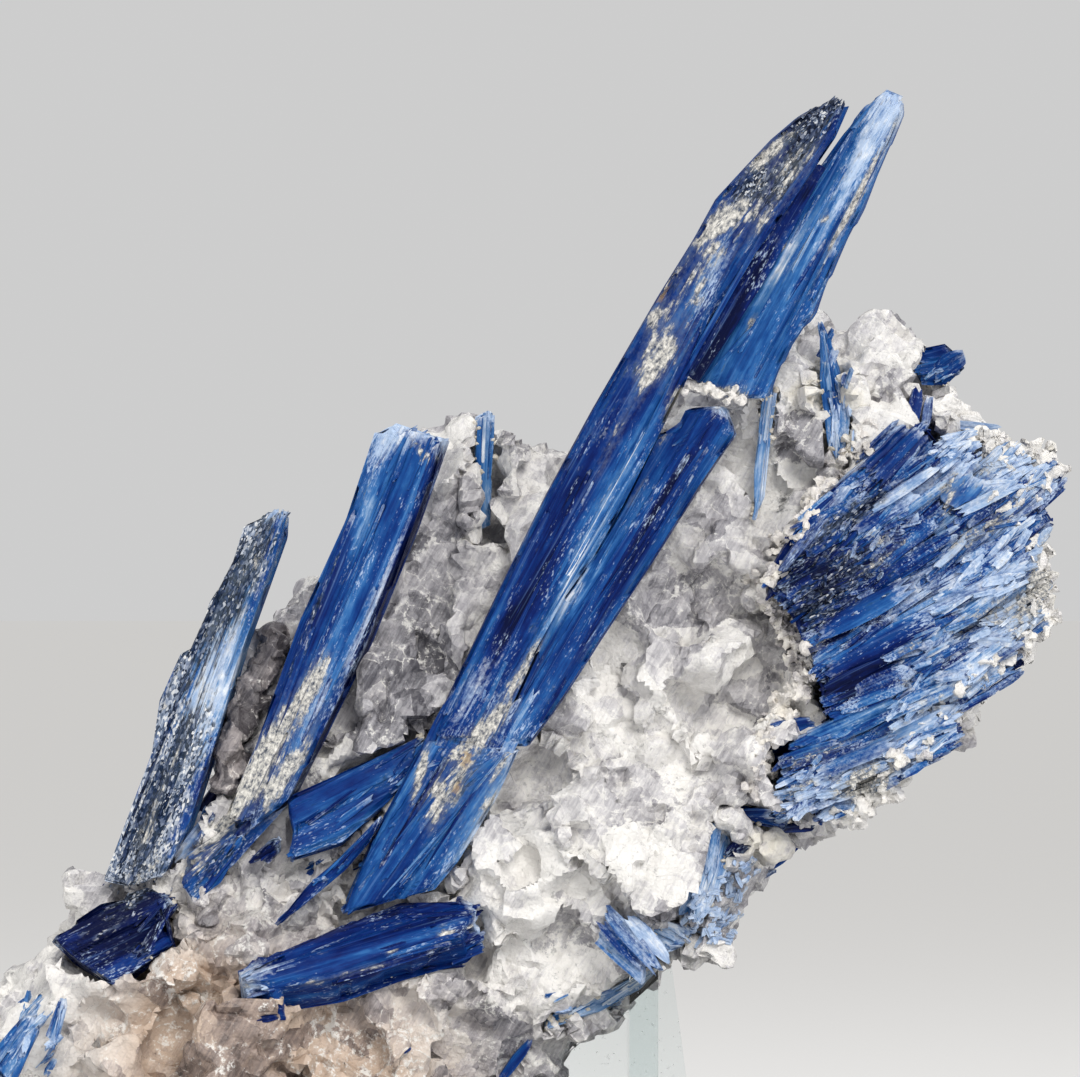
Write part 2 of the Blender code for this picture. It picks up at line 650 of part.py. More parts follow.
def build():
    """Makes every piece of the cluster and of its stand."""
    for obj in list(bpy.data.objects):
        bpy.data.objects.remove(obj)

    kyanite = finish("kyanite", (0.03, 0.12, 0.4), 0.3)
    quartz = quartz_body()
    flat_foot(quartz)
    stand_rooms = [room_around(quartz, GAP)]

    sockets = {}
    for crystal in CRYSTALS:
        sockets[crystal.name] = helper(
            link(f"{crystal.name} socket", crystal_mesh(crystal, GAP, open_front=14.0), None)
        )
        blade = link(crystal.name, crystal_mesh(crystal), kyanite)
        room = [helper(link(f"{crystal.name} room {other.name}", crystal_mesh(other, GAP), None))
                for other in CRYSTALS if other.name in crystal.after]
        cut_by(blade, room, "beside")
        if crystal.name in ON_STAND:
            stand_rooms.append(helper(link(f"stand room {crystal.name}", crystal_mesh(crystal, GAP), None)))
    blade_fan("blade_fan", kyanite)
    fan_room = helper(blade_fan("fan socket", None, GAP))
    cut_by(quartz, [*sockets.values(), fan_room], "socket")
    stand(stand_rooms)


build()
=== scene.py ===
# %% [markdown]
# # Kyanite blade cluster
#
# Long blue blades of kyanite stand in a slab of broken quartz, on a clear display stand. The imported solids
# already give every crystal its place, its tilt and its size. This lesson gives each one the surface of the
# mineral: steps and fibres along the blades, jagged ends, glassy grains of quartz, and crusts of mica and
# clay.

# %% Load the fixed frame
import math
import random

import bmesh
import bpy
import numpy as np
from mathutils import Matrix, Vector
from mathutils.bvhtree import BVHTree
from mathutils.kdtree import KDTree


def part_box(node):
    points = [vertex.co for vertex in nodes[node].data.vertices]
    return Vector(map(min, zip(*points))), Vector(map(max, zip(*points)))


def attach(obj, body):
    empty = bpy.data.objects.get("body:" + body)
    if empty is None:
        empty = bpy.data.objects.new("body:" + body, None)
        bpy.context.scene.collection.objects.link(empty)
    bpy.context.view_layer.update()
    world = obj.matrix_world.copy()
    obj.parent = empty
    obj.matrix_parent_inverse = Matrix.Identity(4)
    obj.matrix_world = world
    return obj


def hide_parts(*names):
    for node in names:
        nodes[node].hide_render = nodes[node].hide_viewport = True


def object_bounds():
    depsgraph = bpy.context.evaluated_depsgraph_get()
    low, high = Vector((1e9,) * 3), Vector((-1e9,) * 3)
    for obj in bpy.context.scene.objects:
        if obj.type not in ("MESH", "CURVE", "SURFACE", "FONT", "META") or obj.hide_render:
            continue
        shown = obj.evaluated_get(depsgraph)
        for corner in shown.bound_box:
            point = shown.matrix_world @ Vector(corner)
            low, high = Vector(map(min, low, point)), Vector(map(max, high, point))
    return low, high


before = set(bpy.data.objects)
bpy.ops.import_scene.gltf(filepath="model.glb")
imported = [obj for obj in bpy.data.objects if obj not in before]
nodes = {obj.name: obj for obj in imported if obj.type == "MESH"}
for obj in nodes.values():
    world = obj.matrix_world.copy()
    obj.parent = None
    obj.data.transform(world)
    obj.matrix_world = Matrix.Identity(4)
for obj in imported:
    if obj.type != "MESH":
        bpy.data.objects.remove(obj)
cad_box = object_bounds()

MM = 0.001
print("nodes:", len(nodes), "box in mm:", [tuple(round(c / MM, 1) for c in corner) for corner in cad_box])

# %% [markdown]
# ## Small tools
#
# A colour is written as it is seen on a screen, and one function turns it to the linear numbers that a
# shader mixes. One more function adds a node with its settings and links, so that a material reads as a
# list of steps.

# %% Colours and shader nodes
PLUS, MINUS, TIMES = {"operation": "ADD"}, {"operation": "SUBTRACT"}, {"operation": "MULTIPLY"}
TIMES_PLUS = {"operation": "MULTIPLY_ADD"}
OF_COLOURS, OF_NUMBERS = {"data_type": "RGBA"}, {"data_type": "FLOAT"}


def linear(hex_colour):
    """An sRGB hex colour as linear RGBA."""
    channels = [int(hex_colour[i:i + 2], 16) / 255 for i in (1, 3, 5)]
    return (*[c / 12.92 if c <= 0.04045 else ((c + 0.055) / 1.055) ** 2.4 for c in channels], 1.0)


def new_material(name):
    """A node material, its tree, and its Principled shader."""
    material = bpy.data.materials.new(name)
    material.use_nodes = True
    return material, material.node_tree, material.node_tree.nodes["Principled BSDF"]


def add(tree, kind, settings=None, stops=(), **inputs):
    """Adds a shader node. Inputs are named, with _ for a space, or numbered as in_6. They take a value, a
    socket, or a node, which stands for its first output. stops are the places and hex colours of a ramp."""
    node = tree.nodes.new(kind)
    for key, value in (settings or {}).items():
        setattr(node, key, value)
    for key, value in inputs.items():
        socket = node.inputs[int(key[3:]) if key.startswith("in_") else key.replace("_", " ")]
        if isinstance(value, bpy.types.Node):
            value = value.outputs[0]
        if isinstance(value, bpy.types.NodeSocket):
            tree.links.new(value, socket)
        else:
            socket.default_value = value
    if stops:
        elements = node.color_ramp.elements
        while len(elements) < len(stops):
            elements.new(1.0)
        for element, (place, colour) in zip(elements, stops):
            element.position = place
            element.color = linear(colour)
    return node


print("linear of mid grey:", [round(c, 3) for c in linear("#808080")])

# %% Meshes and pieces
ATTRIBUTE_KEYS = {"FLOAT": "value", "FLOAT_VECTOR": "vector", "FLOAT_COLOR": "color"}
HAIR = 0.05 * MM  # how far every piece stays inside the object's box


def points_of(mesh):
    """A mesh's points as rows of a table."""
    points = np.empty(len(mesh.vertices) * 3, np.float32)
    mesh.vertices.foreach_get("co", points)
    return points.reshape(-1, 3).astype(np.float64)


def move_points(mesh, points):
    """Moves a mesh's points to these places."""
    mesh.vertices.foreach_set("co", points.astype(np.float32).ravel())
    mesh.update()


def store(mesh, name, kind, values):
    """Stores a number, a vector or a colour at each point, for a material to read."""
    data = mesh.attributes.new(name, kind, "POINT").data
    data.foreach_set(ATTRIBUTE_KEYS[kind], values.astype(np.float32).ravel())


def mesh_from(bm, name):
    """The mesh of a finished bmesh."""
    mesh = bpy.data.meshes.new(name)
    bm.to_mesh(mesh)
    bm.free()
    return mesh


def merged_copy(node):
    """A copy of a solid's mesh, with its loose triangles joined."""
    bm = bmesh.new()
    bm.from_mesh(node.data)
    bmesh.ops.remove_doubles(bm, verts=bm.verts, dist=0.01 * MM)
    return mesh_from(bm, node.name + " copy")


def in_scene(name, data):
    """An object in the scene that shows these data."""
    thing = bpy.data.objects.new(name, data)
    bpy.context.scene.collection.objects.link(thing)
    return thing


def piece_of(name, mesh):
    """A piece of the specimen, which is one rigid body."""
    piece = in_scene(name, mesh)
    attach(piece, "root")
    return piece


def kept_inside(points):
    """Points brought back into the object's box."""
    return np.clip(points, np.array(cad_box[0]) + HAIR, np.array(cad_box[1]) - HAIR)


def triangles(mesh):
    """How many triangles a mesh has."""
    return sum(len(face.vertices) - 2 for face in mesh.polygons)


print("points in the largest solid:", max(len(node.data.vertices) for node in nodes.values()))

# %% [markdown]
# ## The camera, the light and the floor
#
# A crystal like this is looked at from straight in front, through a long lens that keeps its upright lines
# upright. One broad light from the upper right, like a cloudy window, gives soft shadows, and two soft
# boxes draw long pale reflections on the blades. Pale paper all around would also be mirrored in every
# blade and wash out its blue, so a photographer hangs dark cloth beside the object. Here the world is dim
# for the object and pale for the camera.

# %% Camera
SHOW_PLANE = -20 * MM  # the depth at which a millimetre has its stated size in the view
VIEW_WIDTH = 150 * MM
VIEW_MIDDLE = Vector((5 * MM, SHOW_PLANE, 102.98 * MM))
CAMERA_AWAY = 1500 * MM
SENSOR = 36.0

camera_data = bpy.data.cameras.new("camera")
camera_data.sensor_width = SENSOR
camera_data.lens = SENSOR * CAMERA_AWAY / VIEW_WIDTH
camera_data.clip_end = 30
camera = in_scene("camera", camera_data)
camera.location = VIEW_MIDDLE - Vector((0, CAMERA_AWAY, 0))
camera.rotation_euler = (math.pi / 2, 0, 0)
bpy.context.scene.camera = camera
print("lens in mm:", round(camera_data.lens, 1))

# %% Lights
WINDOW_FROM = Vector((0.42, -1.25, 0.95))
WINDOW_STRENGTH = 2.1
SURROUND = 0.36  # how bright the dim surroundings are


def soft_light(name, kind, place, power, size=(0.3, 0.3), colour="#ffffff"):
    """A light that faces the object's middle: AREA with a size in metres, or SUN with a width in radians."""
    data = bpy.data.lights.new(name, kind)
    if kind == "AREA":
        data.shape = "RECTANGLE"
        data.size, data.size_y = size
    else:
        data.angle = size[0]
    data.energy = power
    data.color = linear(colour)[:3]
    light = in_scene(name, data)
    light.location = place
    aim = Vector(place) - (VIEW_MIDDLE if kind == "AREA" else Vector())
    light.rotation_euler = aim.to_track_quat("Z", "Y").to_euler()


soft_light("window light", "SUN", WINDOW_FROM, WINDOW_STRENGTH, (math.radians(24), 0), "#fffcf7")
soft_light("left soft box", "AREA", (-0.75, -0.55, 0.35), 2.2, (0.22, 0.70))
soft_light("right soft box", "AREA", (0.85, -0.60, 0.25), 2.0, (0.25, 0.60), "#f6f8ff")
soft_light("top soft box", "AREA", (0.10, 0.15, 0.95), 2.4, (0.60, 0.35))

# %% Floor and surroundings
PAPER = "#e9e9e9"
FLOOR_REACH = 12.0  # metres
bm = bmesh.new()
bmesh.ops.create_circle(bm, cap_ends=True, segments=64, radius=FLOOR_REACH)
floor_mesh = mesh_from(bm, "floor")
floor = in_scene("floor", floor_mesh)
paper, tree, shader = new_material("Matt paper floor")
shader.inputs["Base Color"].default_value = linear(PAPER)
shader.inputs["Roughness"].default_value = 1.0
shader.inputs["Specular IOR Level"].default_value = 0.0
floor_mesh.materials.append(paper)

# The far floor sends back its colour's share of the light that falls on it, and the backdrop is as bright.
window_share = WINDOW_STRENGTH * WINDOW_FROM.normalized().z / math.pi
floor_glow = linear(PAPER)[0] * (window_share + SURROUND)
world = bpy.data.worlds.new("studio")
world.use_nodes = True
tree = world.node_tree
tree.nodes["Background"].inputs["Strength"].default_value = SURROUND
backdrop = add(tree, "ShaderNodeBackground", Color=(1, 1, 1, 1), Strength=floor_glow)
to_camera = add(tree, "ShaderNodeLightPath").outputs["Is Camera Ray"]
both = add(
    tree, "ShaderNodeMixShader", in_0=to_camera,
    in_1=tree.nodes["Background"].outputs[0], in_2=backdrop,
)
tree.nodes["Background"].inputs["Color"].default_value = (1, 1, 1, 1)
tree.links.new(both.outputs[0], tree.nodes["World Output"].inputs["Surface"])
bpy.context.scene.world = world
bpy.context.scene.view_settings.view_transform = "Standard"
print("backdrop brightness:", round(floor_glow, 3))

# %% [markdown]
# ## A blade's own directions
#
# Kyanite grows as flat blades with fibres along their length, so everything on a blade is measured across
# it, along it, and out of its face. The length is the direction in which the solid reaches furthest, which
# the eigenvectors of its points give. The face's direction is the mean of the faces that look to the front.

# %% Blade directions and cross sections
SHOW, REAR = -1, 1  # the side that a blade's face looks to, as the sign of Y


def blade_directions(node, side):
    """A blade's middle, and its directions across, along and out of its face, as rows."""
    points = points_of(node.data)
    middle = points.mean(axis=0)
    along = Vector(np.linalg.eigh(np.cov((points - middle).T))[1][:, 2])
    if along.z < 0:
        along.negate()
    facing = Vector()
    for face in node.data.polygons:
        if face.normal.y * side > 0.5:
            facing += face.normal * face.area
    outward = (facing - along * facing.dot(along)).normalized()
    return middle, np.array([along.cross(outward), along, outward])


class Sections:
    """Cuts through a blade's solid: where its edges, its face and its back lie at each place along it."""

    def __init__(self, node, side, spacing):
        self.middle, self.directions = blade_directions(node, side)
        local = (points_of(node.data) - self.middle) @ self.directions.T
        edges = np.array([edge.vertices[:] for edge in node.data.edges])
        start, end = local[edges[:, 0]], local[edges[:, 1]]
        low, high = local[:, 1].min() + HAIR, local[:, 1].max() - HAIR
        self.rows = np.linspace(low, high, max(4, round((high - low) / spacing)) + 1)
        self.left, self.right, self.face, self.back = [], [], [], []
        for row in self.rows:
            crossing = (start[:, 1] > row) != (end[:, 1] > row)
            a, b = start[crossing], end[crossing]
            cut = a + ((row - a[:, 1]) / (b[:, 1] - a[:, 1]))[:, None] * (b - a)
            cut = cut[np.argsort(cut[:, 0])]
            half = (cut[:, 2].min() + cut[:, 2].max()) / 2
            self.left.append(cut[0, 0])
            self.right.append(cut[-1, 0])
            self.face.append(cut[cut[:, 2] >= half][:, [0, 2]])
            self.back.append(cut[cut[:, 2] <= half][:, [0, 2]])
        self.width = max(r - l for l, r in zip(self.left, self.right))
        self.length = high - low

    def place(self, slab):
        """Points of a unit slab, as distances across, along and out of the blade's face."""
        row_of = np.rint(slab[:, 1] * (len(self.rows) - 1)).astype(int)
        placed = np.empty_like(slab)
        for index, row in enumerate(self.rows):
            chosen = row_of == index
            share, depth = slab[chosen, 0], slab[chosen, 2]
            across = self.left[index] + share * (self.right[index] - self.left[index])
            face = np.interp(across, self.face[index][:, 0], self.face[index][:, 1])
            back = np.interp(across, self.back[index][:, 0], self.back[index][:, 1])
            out = face + (back - face) * depth
            placed[chosen] = np.column_stack([across, np.full_like(across, row), out])
        return placed


def unit_slab(columns, rows, layers):
    """A closed slab of small faces: x across, y along and z from face to back, each from 0 to 1."""
    bm = bmesh.new()
    bmesh.ops.create_grid(bm, x_segments=columns, y_segments=rows, size=0.5)
    bmesh.ops.translate(bm, vec=(0.5, 0.5, 0), verts=bm.verts)
    faces = bm.faces[:]
    for _layer in range(layers):
        made = bmesh.ops.extrude_face_region(bm, geom=faces)["geom"]
        faces = [item for item in made if isinstance(item, bmesh.types.BMFace)]
        raised = [item for item in made if isinstance(item, bmesh.types.BMVert)]
        bmesh.ops.translate(bm, vec=(0, 0, 1 / layers), verts=raised)
    bmesh.ops.recalc_face_normals(bm, faces=bm.faces)
    mesh = mesh_from(bm, "slab")
    mesh.flip_normals()
    return mesh


main_sections = Sections(nodes["main_blade"], SHOW, 1.0 * MM)
main_size = (main_sections.length, main_sections.width)
print("main blade, length and width in mm:", *[round(side / MM, 1) for side in main_size])

# %% [markdown]
# ## Steps and fibres
#
# Kyanite splits along its length into flat laths, so a blade's face is a stair of long narrow steps. Each
# lath ends somewhere along the blade, and a new one starts beside it. A noise texture would make soft
# waves. Whole-numbered cells give flat steps with sharp edges, so each point finds its cell, and the cell's
# own chance number sets the height and a small tilt, which makes one lath shine while the next stays dark.
# Three sizes of cell are added up.

# %% Steps along a blade
# width, length and height of the steps in millimetres, their greatest tilt, their share of the blade's tone
LATHS = [
    (3.4, 70.0, 0.34, math.radians(12), 0.13),
    (1.3, 26.0, 0.15, math.radians(9), 0.08),
    (0.52, 9.0, 0.06, 0.0, 0.05),
]


def chance(*cells):
    """A repeatable number from 0 to 1 for whole-numbered cells."""
    mixed = sum(cell * weight for cell, weight in zip(cells, (127.1, 311.7, 74.7)))
    value = np.sin(mixed) * 43758.5453
    return value - np.floor(value)


def lath_steps(across, along, seed):
    """Heights in metres, never above 0, and tones around 0, of the steps at these places."""
    height, tone = np.zeros_like(across), np.zeros_like(across)
    for level, (width, length, drop, tilt, contrast) in enumerate(LATHS):
        slant = 0.012 * (level - 1)
        place = across / (width * MM) + slant * along / (width * MM) + seed * 0.37
        column = np.floor(place)
        segment = np.floor(along / (length * MM) + 9 * chance(column, seed))
        value = chance(column, segment, seed + level)
        slope = math.tan(tilt) * (2 * chance(column, level, seed) - 1)
        height += (value - 1) * drop * MM + width * MM * (slope * (place - column - 0.5) - abs(slope) / 2)
        tone += (value - 0.5) * contrast
    return height, tone


three_steps = lath_steps(np.array([0.0, 1.5, 3.0]) * MM, np.zeros(3), 1)[0]
print("steps at three places in mm:", (three_steps / MM).round(2))

# %% [markdown]
# ## Where the coats lie
#
# A specimen from the ground is never clean. Cream clay and white crust sit where blades meet the quartz,
# dark mica covers weathered faces, and broken ends are frosted white. These coats belong to places on the
# specimen, not to one blade, so they are patches seen from the front: a middle, a length, a width, a lean
# and an amount. Each point on a face adds up the patches around it, and the material breaks their edges up
# with fine noise. Paler and deeper patches of the blue are laid out the same way. They hold the blue's own
# zones, painted light on facets that face the lamp, and painted shade on strips turned away from it.

# %% Patches of clay, mica, frost, paler and deeper blue with painted light and shade, and rust
# x, z, length, width (mm), lean of the length from the horizon (degrees), amount
CLAY = [
    (21.4, 128.6, 10, 5.2, 60, 0.80), (20.7, 134.0, 3.5, 2.6, 50, 0.65), (36.2, 155.9, 8.5, 1.8, 42, 0.95),
    (30.3, 147.2, 5.5, 2.6, 36, 0.95), (28.5, 145.0, 6, 1.0, 30, 0.80), (35.9, 147.0, 5.5, 1.3, 55, 0.5),
    (23.4, 139.5, 6, 1.2, 58, 0.45), (11.8, 121.4, 16, 1.4, 66, 0.42), (38.3, 143.3, 2.6, 1.6, 50, 0.8),
    (44.2, 147.0, 2.0, 1.2, 60, 0.75), (34.2, 132.8, 3.0, 1.3, 62, 0.8), (28.2, 123.2, 8, 1.8, 4, 0.8),
    (34.5, 120.5, 4, 2.5, 0, 0.6), (23.5, 120.5, 5, 2.4, 70, 0.7), (19.0, 110.0, 3, 1.0, 60, 0.45),
    (17.5, 108.0, 2.4, 1.0, 60, 0.40), (40.5, 142.5, 3, 0.8, 62, 0.5), (2.8, 85.0, 9, 1.7, 60, 0.85),
    (2.5, 101.8, 8, 1.6, 62, 0.30), (0.0, 79.2, 5.5, 2.6, 50, 0.50), (-3.5, 76.0, 6, 2.6, 35, 0.50),
    (-11.5, 70.5, 10, 1.5, 74, 0.85), (-9.3, 68.5, 2.6, 1.5, 60, 0.80), (-7.0, 73.0, 2, 1.3, 60, 0.7),
    (-9.5, 64.5, 4.5, 2.0, 60, 0.6), (-0.5, 71.0, 8, 1.6, 58, 0.30), (-12.0, 115.8, 3.6, 0.9, -60, 0.8),
    (-10.1, 114.2, 2.6, 0.9, -18, 0.8), (-27.0, 82.0, 11, 1.9, 66, 0.56), (-25.4, 84.2, 5, 1.2, 66, 0.6),
    (-34.0, 74.0, 3, 1.6, 60, 0.85), (-34.6, 71.0, 9, 2.0, 66, 0.52), (-38.6, 65.0, 13, 3.2, 54, 0.66),
    (-30.6, 77.0, 17, 1.6, 66, 0.42), (-28.0, 73.0, 13, 1.3, 64, 0.42), (-31.6, 68.5, 9, 1.6, 60, 0.6),
    (-25.5, 70.4, 9, 1.4, 32, 0.6), (-3.5, 49.6, 6, 1.2, 18, 0.5), (-36.0, 41.0, 5, 2.0, 30, 0.5),
    (-15.5, 46.0, 2.2, 1.1, 20, 0.75), (-8.0, 48.0, 2.2, 1.1, 20, 0.75), (-21.5, 42.8, 15, 1.1, 14, 0.44),
    (42.6, 133.0, 20, 1.0, 63, 0.42), (-50.0, 62.0, 9, 2.5, 62, 0.36), (-46.3, 82.0, 11, 1.5, 68, 0.50),
    (-55.5, 41.0, 9, 1.6, -35, 0.55), (-51.0, 55.0, 14, 4.0, 62, 0.36), (-47.0, 70.0, 14, 1.4, 64, 0.40),
    (43.0, 87.0, 8, 2.4, 60, 0.45), (53.0, 100.5, 12, 1.8, 30, 0.40), (52.5, 103.0, 4, 2.0, 30, 0.55),
    (61.5, 108.5, 6, 1.6, 80, 0.60), (66.0, 104.0, 14, 3.0, 28, 0.50), (66.0, 112.0, 12, 4.0, 30, 0.40),
    (66.0, 92.0, 12, 3.0, 35, 0.45), (72.5, 93.5, 12, 4.5, 62, 0.62), (75.0, 99.0, 10, 3.0, 88, 0.60),
    (56.0, 88.0, 5, 2.0, 30, 0.45), (55.5, 83.0, 4, 2.0, 30, 0.50), (58.0, 79.5, 16, 2.4, 36, 0.42),
    (49.0, 69.5, 10, 4.0, 26, 0.55), (41.0, 68.5, 8, 2.0, 30, 0.5), (41.0, 80.0, 6, 2.4, 0, 0.45),
    (51.0, 67.0, 6, 5.0, 40, 0.65), (40.5, 72.0, 9, 1.6, 30, 0.4), (46.0, 74.0, 7, 1.6, 28, 0.4),
    (-6.6, 68.6, 10, 3.4, 62, 0.46), (37.0, 60.0, 7, 5.0, 30, 0.8), (50.0, 152.6, 22, 1.1, 62, 0.62),
    (47.0, 146.5, 9, 1.0, 62, 0.60), (39.0, 153.0, 18, 6.0, 52, 0.44), (28.0, 141.0, 14, 7.0, 56, 0.42),
    (16.0, 118.0, 18, 2.0, 62, 0.40), (-41.0, 60.5, 14, 3.0, 50, 0.50), (-36.0, 68.0, 9, 2.4, 58, 0.55),
    (28.5, 122.9, 9, 1.2, -4, 0.9), (-2.5, 66.0, 18, 5.0, 62, 0.38), (-3.0, 77.0, 9, 4.0, 55, 0.26),
    (-6.4, 71.5, 7, 3.0, 62, 0.32), (-36.0, 99.0, 20, 5.6, 67, 0.40), (-30.0, 76.0, 22, 6.0, 66, 0.26),
]
MICA = [
    (43.0, 161.0, 12, 4.6, 42, 1.0), (34.4, 151.4, 9, 4.4, 52, 0.85), (39.4, 153.5, 12, 2.2, 60, 0.8),
    (22.5, 138.0, 12, 2.4, 60, 0.4), (-38.8, 97.0, 24, 5.6, 67, 0.86), (-36.2, 103.0, 9, 3.4, 64, 0.6),
    (-46.6, 68.0, 22, 6.0, 64, 0.95), (-50.5, 57.0, 14, 7.0, 62, 0.80), (-49.6, 66.0, 24, 4.6, 66, 0.75),
    (-46.8, 79.0, 14, 3.0, 68, 0.60), (-36.0, 99.0, 18, 5.6, 67, 0.35), (-45.5, 84.0, 16, 2.0, 67, 0.5),
    (-26.5, 92.0, 18, 2, 66, 0.35), (-33.0, 72.0, 16, 2, 62, 0.40), (-40.0, 58.0, 10, 3, 50, 0.5),
    (-52.0, 46.0, 12, 3, -20, 0.35), (16.0, 122.0, 14, 1.8, 64, 0.35), (1.5, 102.5, 16, 1.6, 62, 0.35),
    (46.5, 98.0, 14, 9.0, 35, 0.55), (43.0, 93.0, 6, 6.0, 35, 0.45), (38.0, 97.5, 6, 2.0, 48, 0.45),
    (46.0, 105.0, 12, 3.0, 42, 0.5), (51.0, 108.0, 8, 1.6, 40, 0.5), (68.0, 106.0, 10, 4.0, 30, 0.4),
    (-1.0, 65.5, 14, 2.2, 62, 0.42), (-2.5, 76.0, 5, 1.6, 30, 0.4), (-6.0, 69.0, 11, 4.0, 62, 0.5),
    (-35.6, 97.4, 14, 4.0, 67, 0.4),
]
FROST = [
    (53.4, 162.0, 9, 5.6, 55, 1.7), (50.0, 156.5, 14, 2.6, 62, 0.80), (46.6, 150.5, 18, 1.6, 63, 0.55),
    (47.6, 147.4, 22, 1.0, 62, 0.85), (30.0, 141.5, 9, 4.4, 52, 0.52), (27.0, 134.5, 8, 1.6, 60, 0.35),
    (-15.4, 117.4, 7, 5.4, 40, 1.1), (-18.6, 110.0, 14, 2.0, 70, 0.45), (-32.6, 106.4, 6, 3.2, 25, 1.2),
    (-41.6, 81.0, 16, 5.0, 66, 1.25), (-44.0, 71.0, 14, 2.0, 62, 0.4), (-37.5, 92.0, 14, 1.6, 68, 0.30),
    (14.0, 97.5, 5, 1.1, 62, 0.50), (11.5, 98.0, 4, 1.0, 62, 0.45), (10.5, 95.0, 4, 1.0, 62, 0.45),
    (-5.0, 81.5, 8, 2.6, 62, 0.40), (8.0, 92.0, 6, 1.0, 62, 0.35), (2.4, 102.5, 9, 1.2, 62, 0.35),
    (-17.2, 95.8, 20, 0.7, 68, 0.85), (-20.5, 89.0, 10, 1.0, 66, 0.55), (44.5, 146.0, 20, 1.2, 63, 0.35),
    (39.8, 143.5, 9, 2.0, 62, 0.45), (-1.0, 67.0, 18, 1.8, 62, 0.20), (1.0, 72.0, 6, 3, 55, 0.20),
    (-8.0, 58.0, 5, 1.2, 62, 0.55), (-13.5, 56.0, 3.4, 1.2, 62, 0.55), (-35.2, 41.6, 8, 4.0, 22, 1.0),
    (-2.7, 113.0, 16, 1.0, 88, 0.5), (47.0, 117.0, 16, 4, 85, 0.7), (36.5, 114.0, 20, 3, 84, 0.75),
    (20.0, 48.0, 14, 3, -35, 0.25), (14.0, 39.0, 18, 2, 25, 0.25), (30.5, 52.0, 10, 7, 60, 0.60),
    (-66.5, 33.0, 10, 4, 50, 0.6), (-62.0, 36.0, 7, 2, 60, 0.5), (-13.5, 66.0, 20, 1.0, 62, 0.2),
    (68.0, 114.0, 16, 6.0, 30, 0.60), (71.0, 97.0, 18, 9.0, 60, 0.40), (64.0, 84.0, 22, 5.0, 46, 0.65),
    (50.0, 69.0, 18, 5.0, 30, 0.60), (56.0, 108.5, 8, 2.0, 35, 0.5), (53.0, 92.0, 14, 2.0, 30, 0.25),
    (60.0, 96.0, 12, 6.0, 35, 0.40), (44.5, 104.0, 8, 1.0, 32, 0.6), (-27.6, 77.8, 16, 4.0, 64, 0.35),
    (39.8, 143.6, 10, 3.6, 62, 0.5), (54.4, 163.6, 5, 4.0, 40, 0.8), (-24.5, 86.0, 26, 6.0, 66, 0.25),
    (-3.0, 82.0, 16, 6.0, 62, 0.40), (-2.0, 66.0, 18, 4.0, 62, 0.12), (30.0, 53.0, 16, 10.0, 60, 0.5),
    (-20.0, 67.0, 20, 2.0, 26, 0.25), (21.0, 47.0, 14, 6.0, -30, 0.4),
]
# Paler or deeper zones of the blue: partly its own zones, partly painted light on facets that face the lamp and
# painted shade on narrow strips turned away from it.
PALER_AND_PAINTED_LIGHT = [
    (13.0, 104.2, 30, 4.6, 64, 0.38), (8.4, 95.0, 8, 2.4, 64, 0.30), (-1.0, 92.0, 16, 1.1, 64, 0.30),
    (14.5, 101.0, 40, 1.8, 61, 0.10), (4.2, 83.0, 12, 1.4, 62, 0.18), (2.2, 77.5, 6, 1.4, 62, 0.16),
    (2.6, 101.0, 14, 2.2, 62, 0.12), (40.0, 143.0, 14, 4.0, 62, 0.26), (50.0, 156.0, 16, 3.0, 62, 0.16),
    (27.5, 137.5, 20, 2.2, 60, 0.14), (20.0, 122.0, 30, 2.0, 61, 0.10), (-18.6, 107.6, 13, 2.6, 71, 0.30),
    (-12.0, 112.0, 10, 2.6, 66, 0.14), (-22.0, 92.0, 22, 2.0, 66, 0.14), (-41.5, 80.5, 18, 5.4, 66, 0.34),
    (-37.0, 95.0, 20, 6.0, 67, 0.16), (-55.0, 59.0, 7, 2.2, 62, 0.35), (-31.8, 101.5, 8, 1.2, 70, 0.10),
    (-9.0, 62.0, 16, 2.0, 62, 0.08), (-3.5, 65.0, 18, 4.0, 62, 0.18), (-24.0, 56.5, 10, 2.0, 24, 0.10),
    (68.0, 98.0, 22, 12.0, 35, 0.06), (36.0, 132.0, 26, 5.0, 62, 0.08), (-22.0, 44.0, 26, 1.6, 14, 0.26),
    (-13.0, 47.6, 20, 1.2, 16, 0.22), (66.0, 113.0, 16, 5.0, 30, 0.12), (60.0, 82.0, 24, 5.0, 32, 0.12),
    (-1.0, 67.0, 16, 2.0, 62, 0.20),
]
DEEPER_AND_PAINTED_SHADE = [
    (6.2, 104.0, 34, 3.0, 64, 0.45), (0.5, 90.5, 12, 2.4, 62, 0.35), (12.5, 114.5, 18, 2.4, 62, 0.35),
    (31.0, 134.0, 22, 1.0, 61, 0.5), (-16.6, 95.4, 46, 1.5, 67.5, 0.9), (-16.4, 107.5, 10, 1.6, 67, 0.22),
    (-14.0, 50.0, 18, 2.0, 12, 0.2), (18.0, 100.5, 44, 1.5, 61, 0.5), (-37.5, 72.5, 30, 1.2, 68, 0.5),
    (-41.7, 70.0, 13, 1.8, 67, 0.5), (-35.4, 92.0, 16, 1.0, 67, 0.2), (-55.0, 48.5, 14, 6.0, 20, 0.4),
    (48.5, 83.0, 12, 5.0, 32, 0.40), (41.5, 100.0, 12, 2.6, 52, 0.35), (44.0, 96.0, 12, 10.0, 40, 0.25),
    (53.0, 113.5, 9, 2.0, 48, 0.2), (-1.3, 73.5, 2.0, 1.2, 60, 0.5), (1.4, 97.5, 14, 2.2, 63, 0.35),
    (6.2, 98.0, 16, 2.6, 64, 0.28),
]
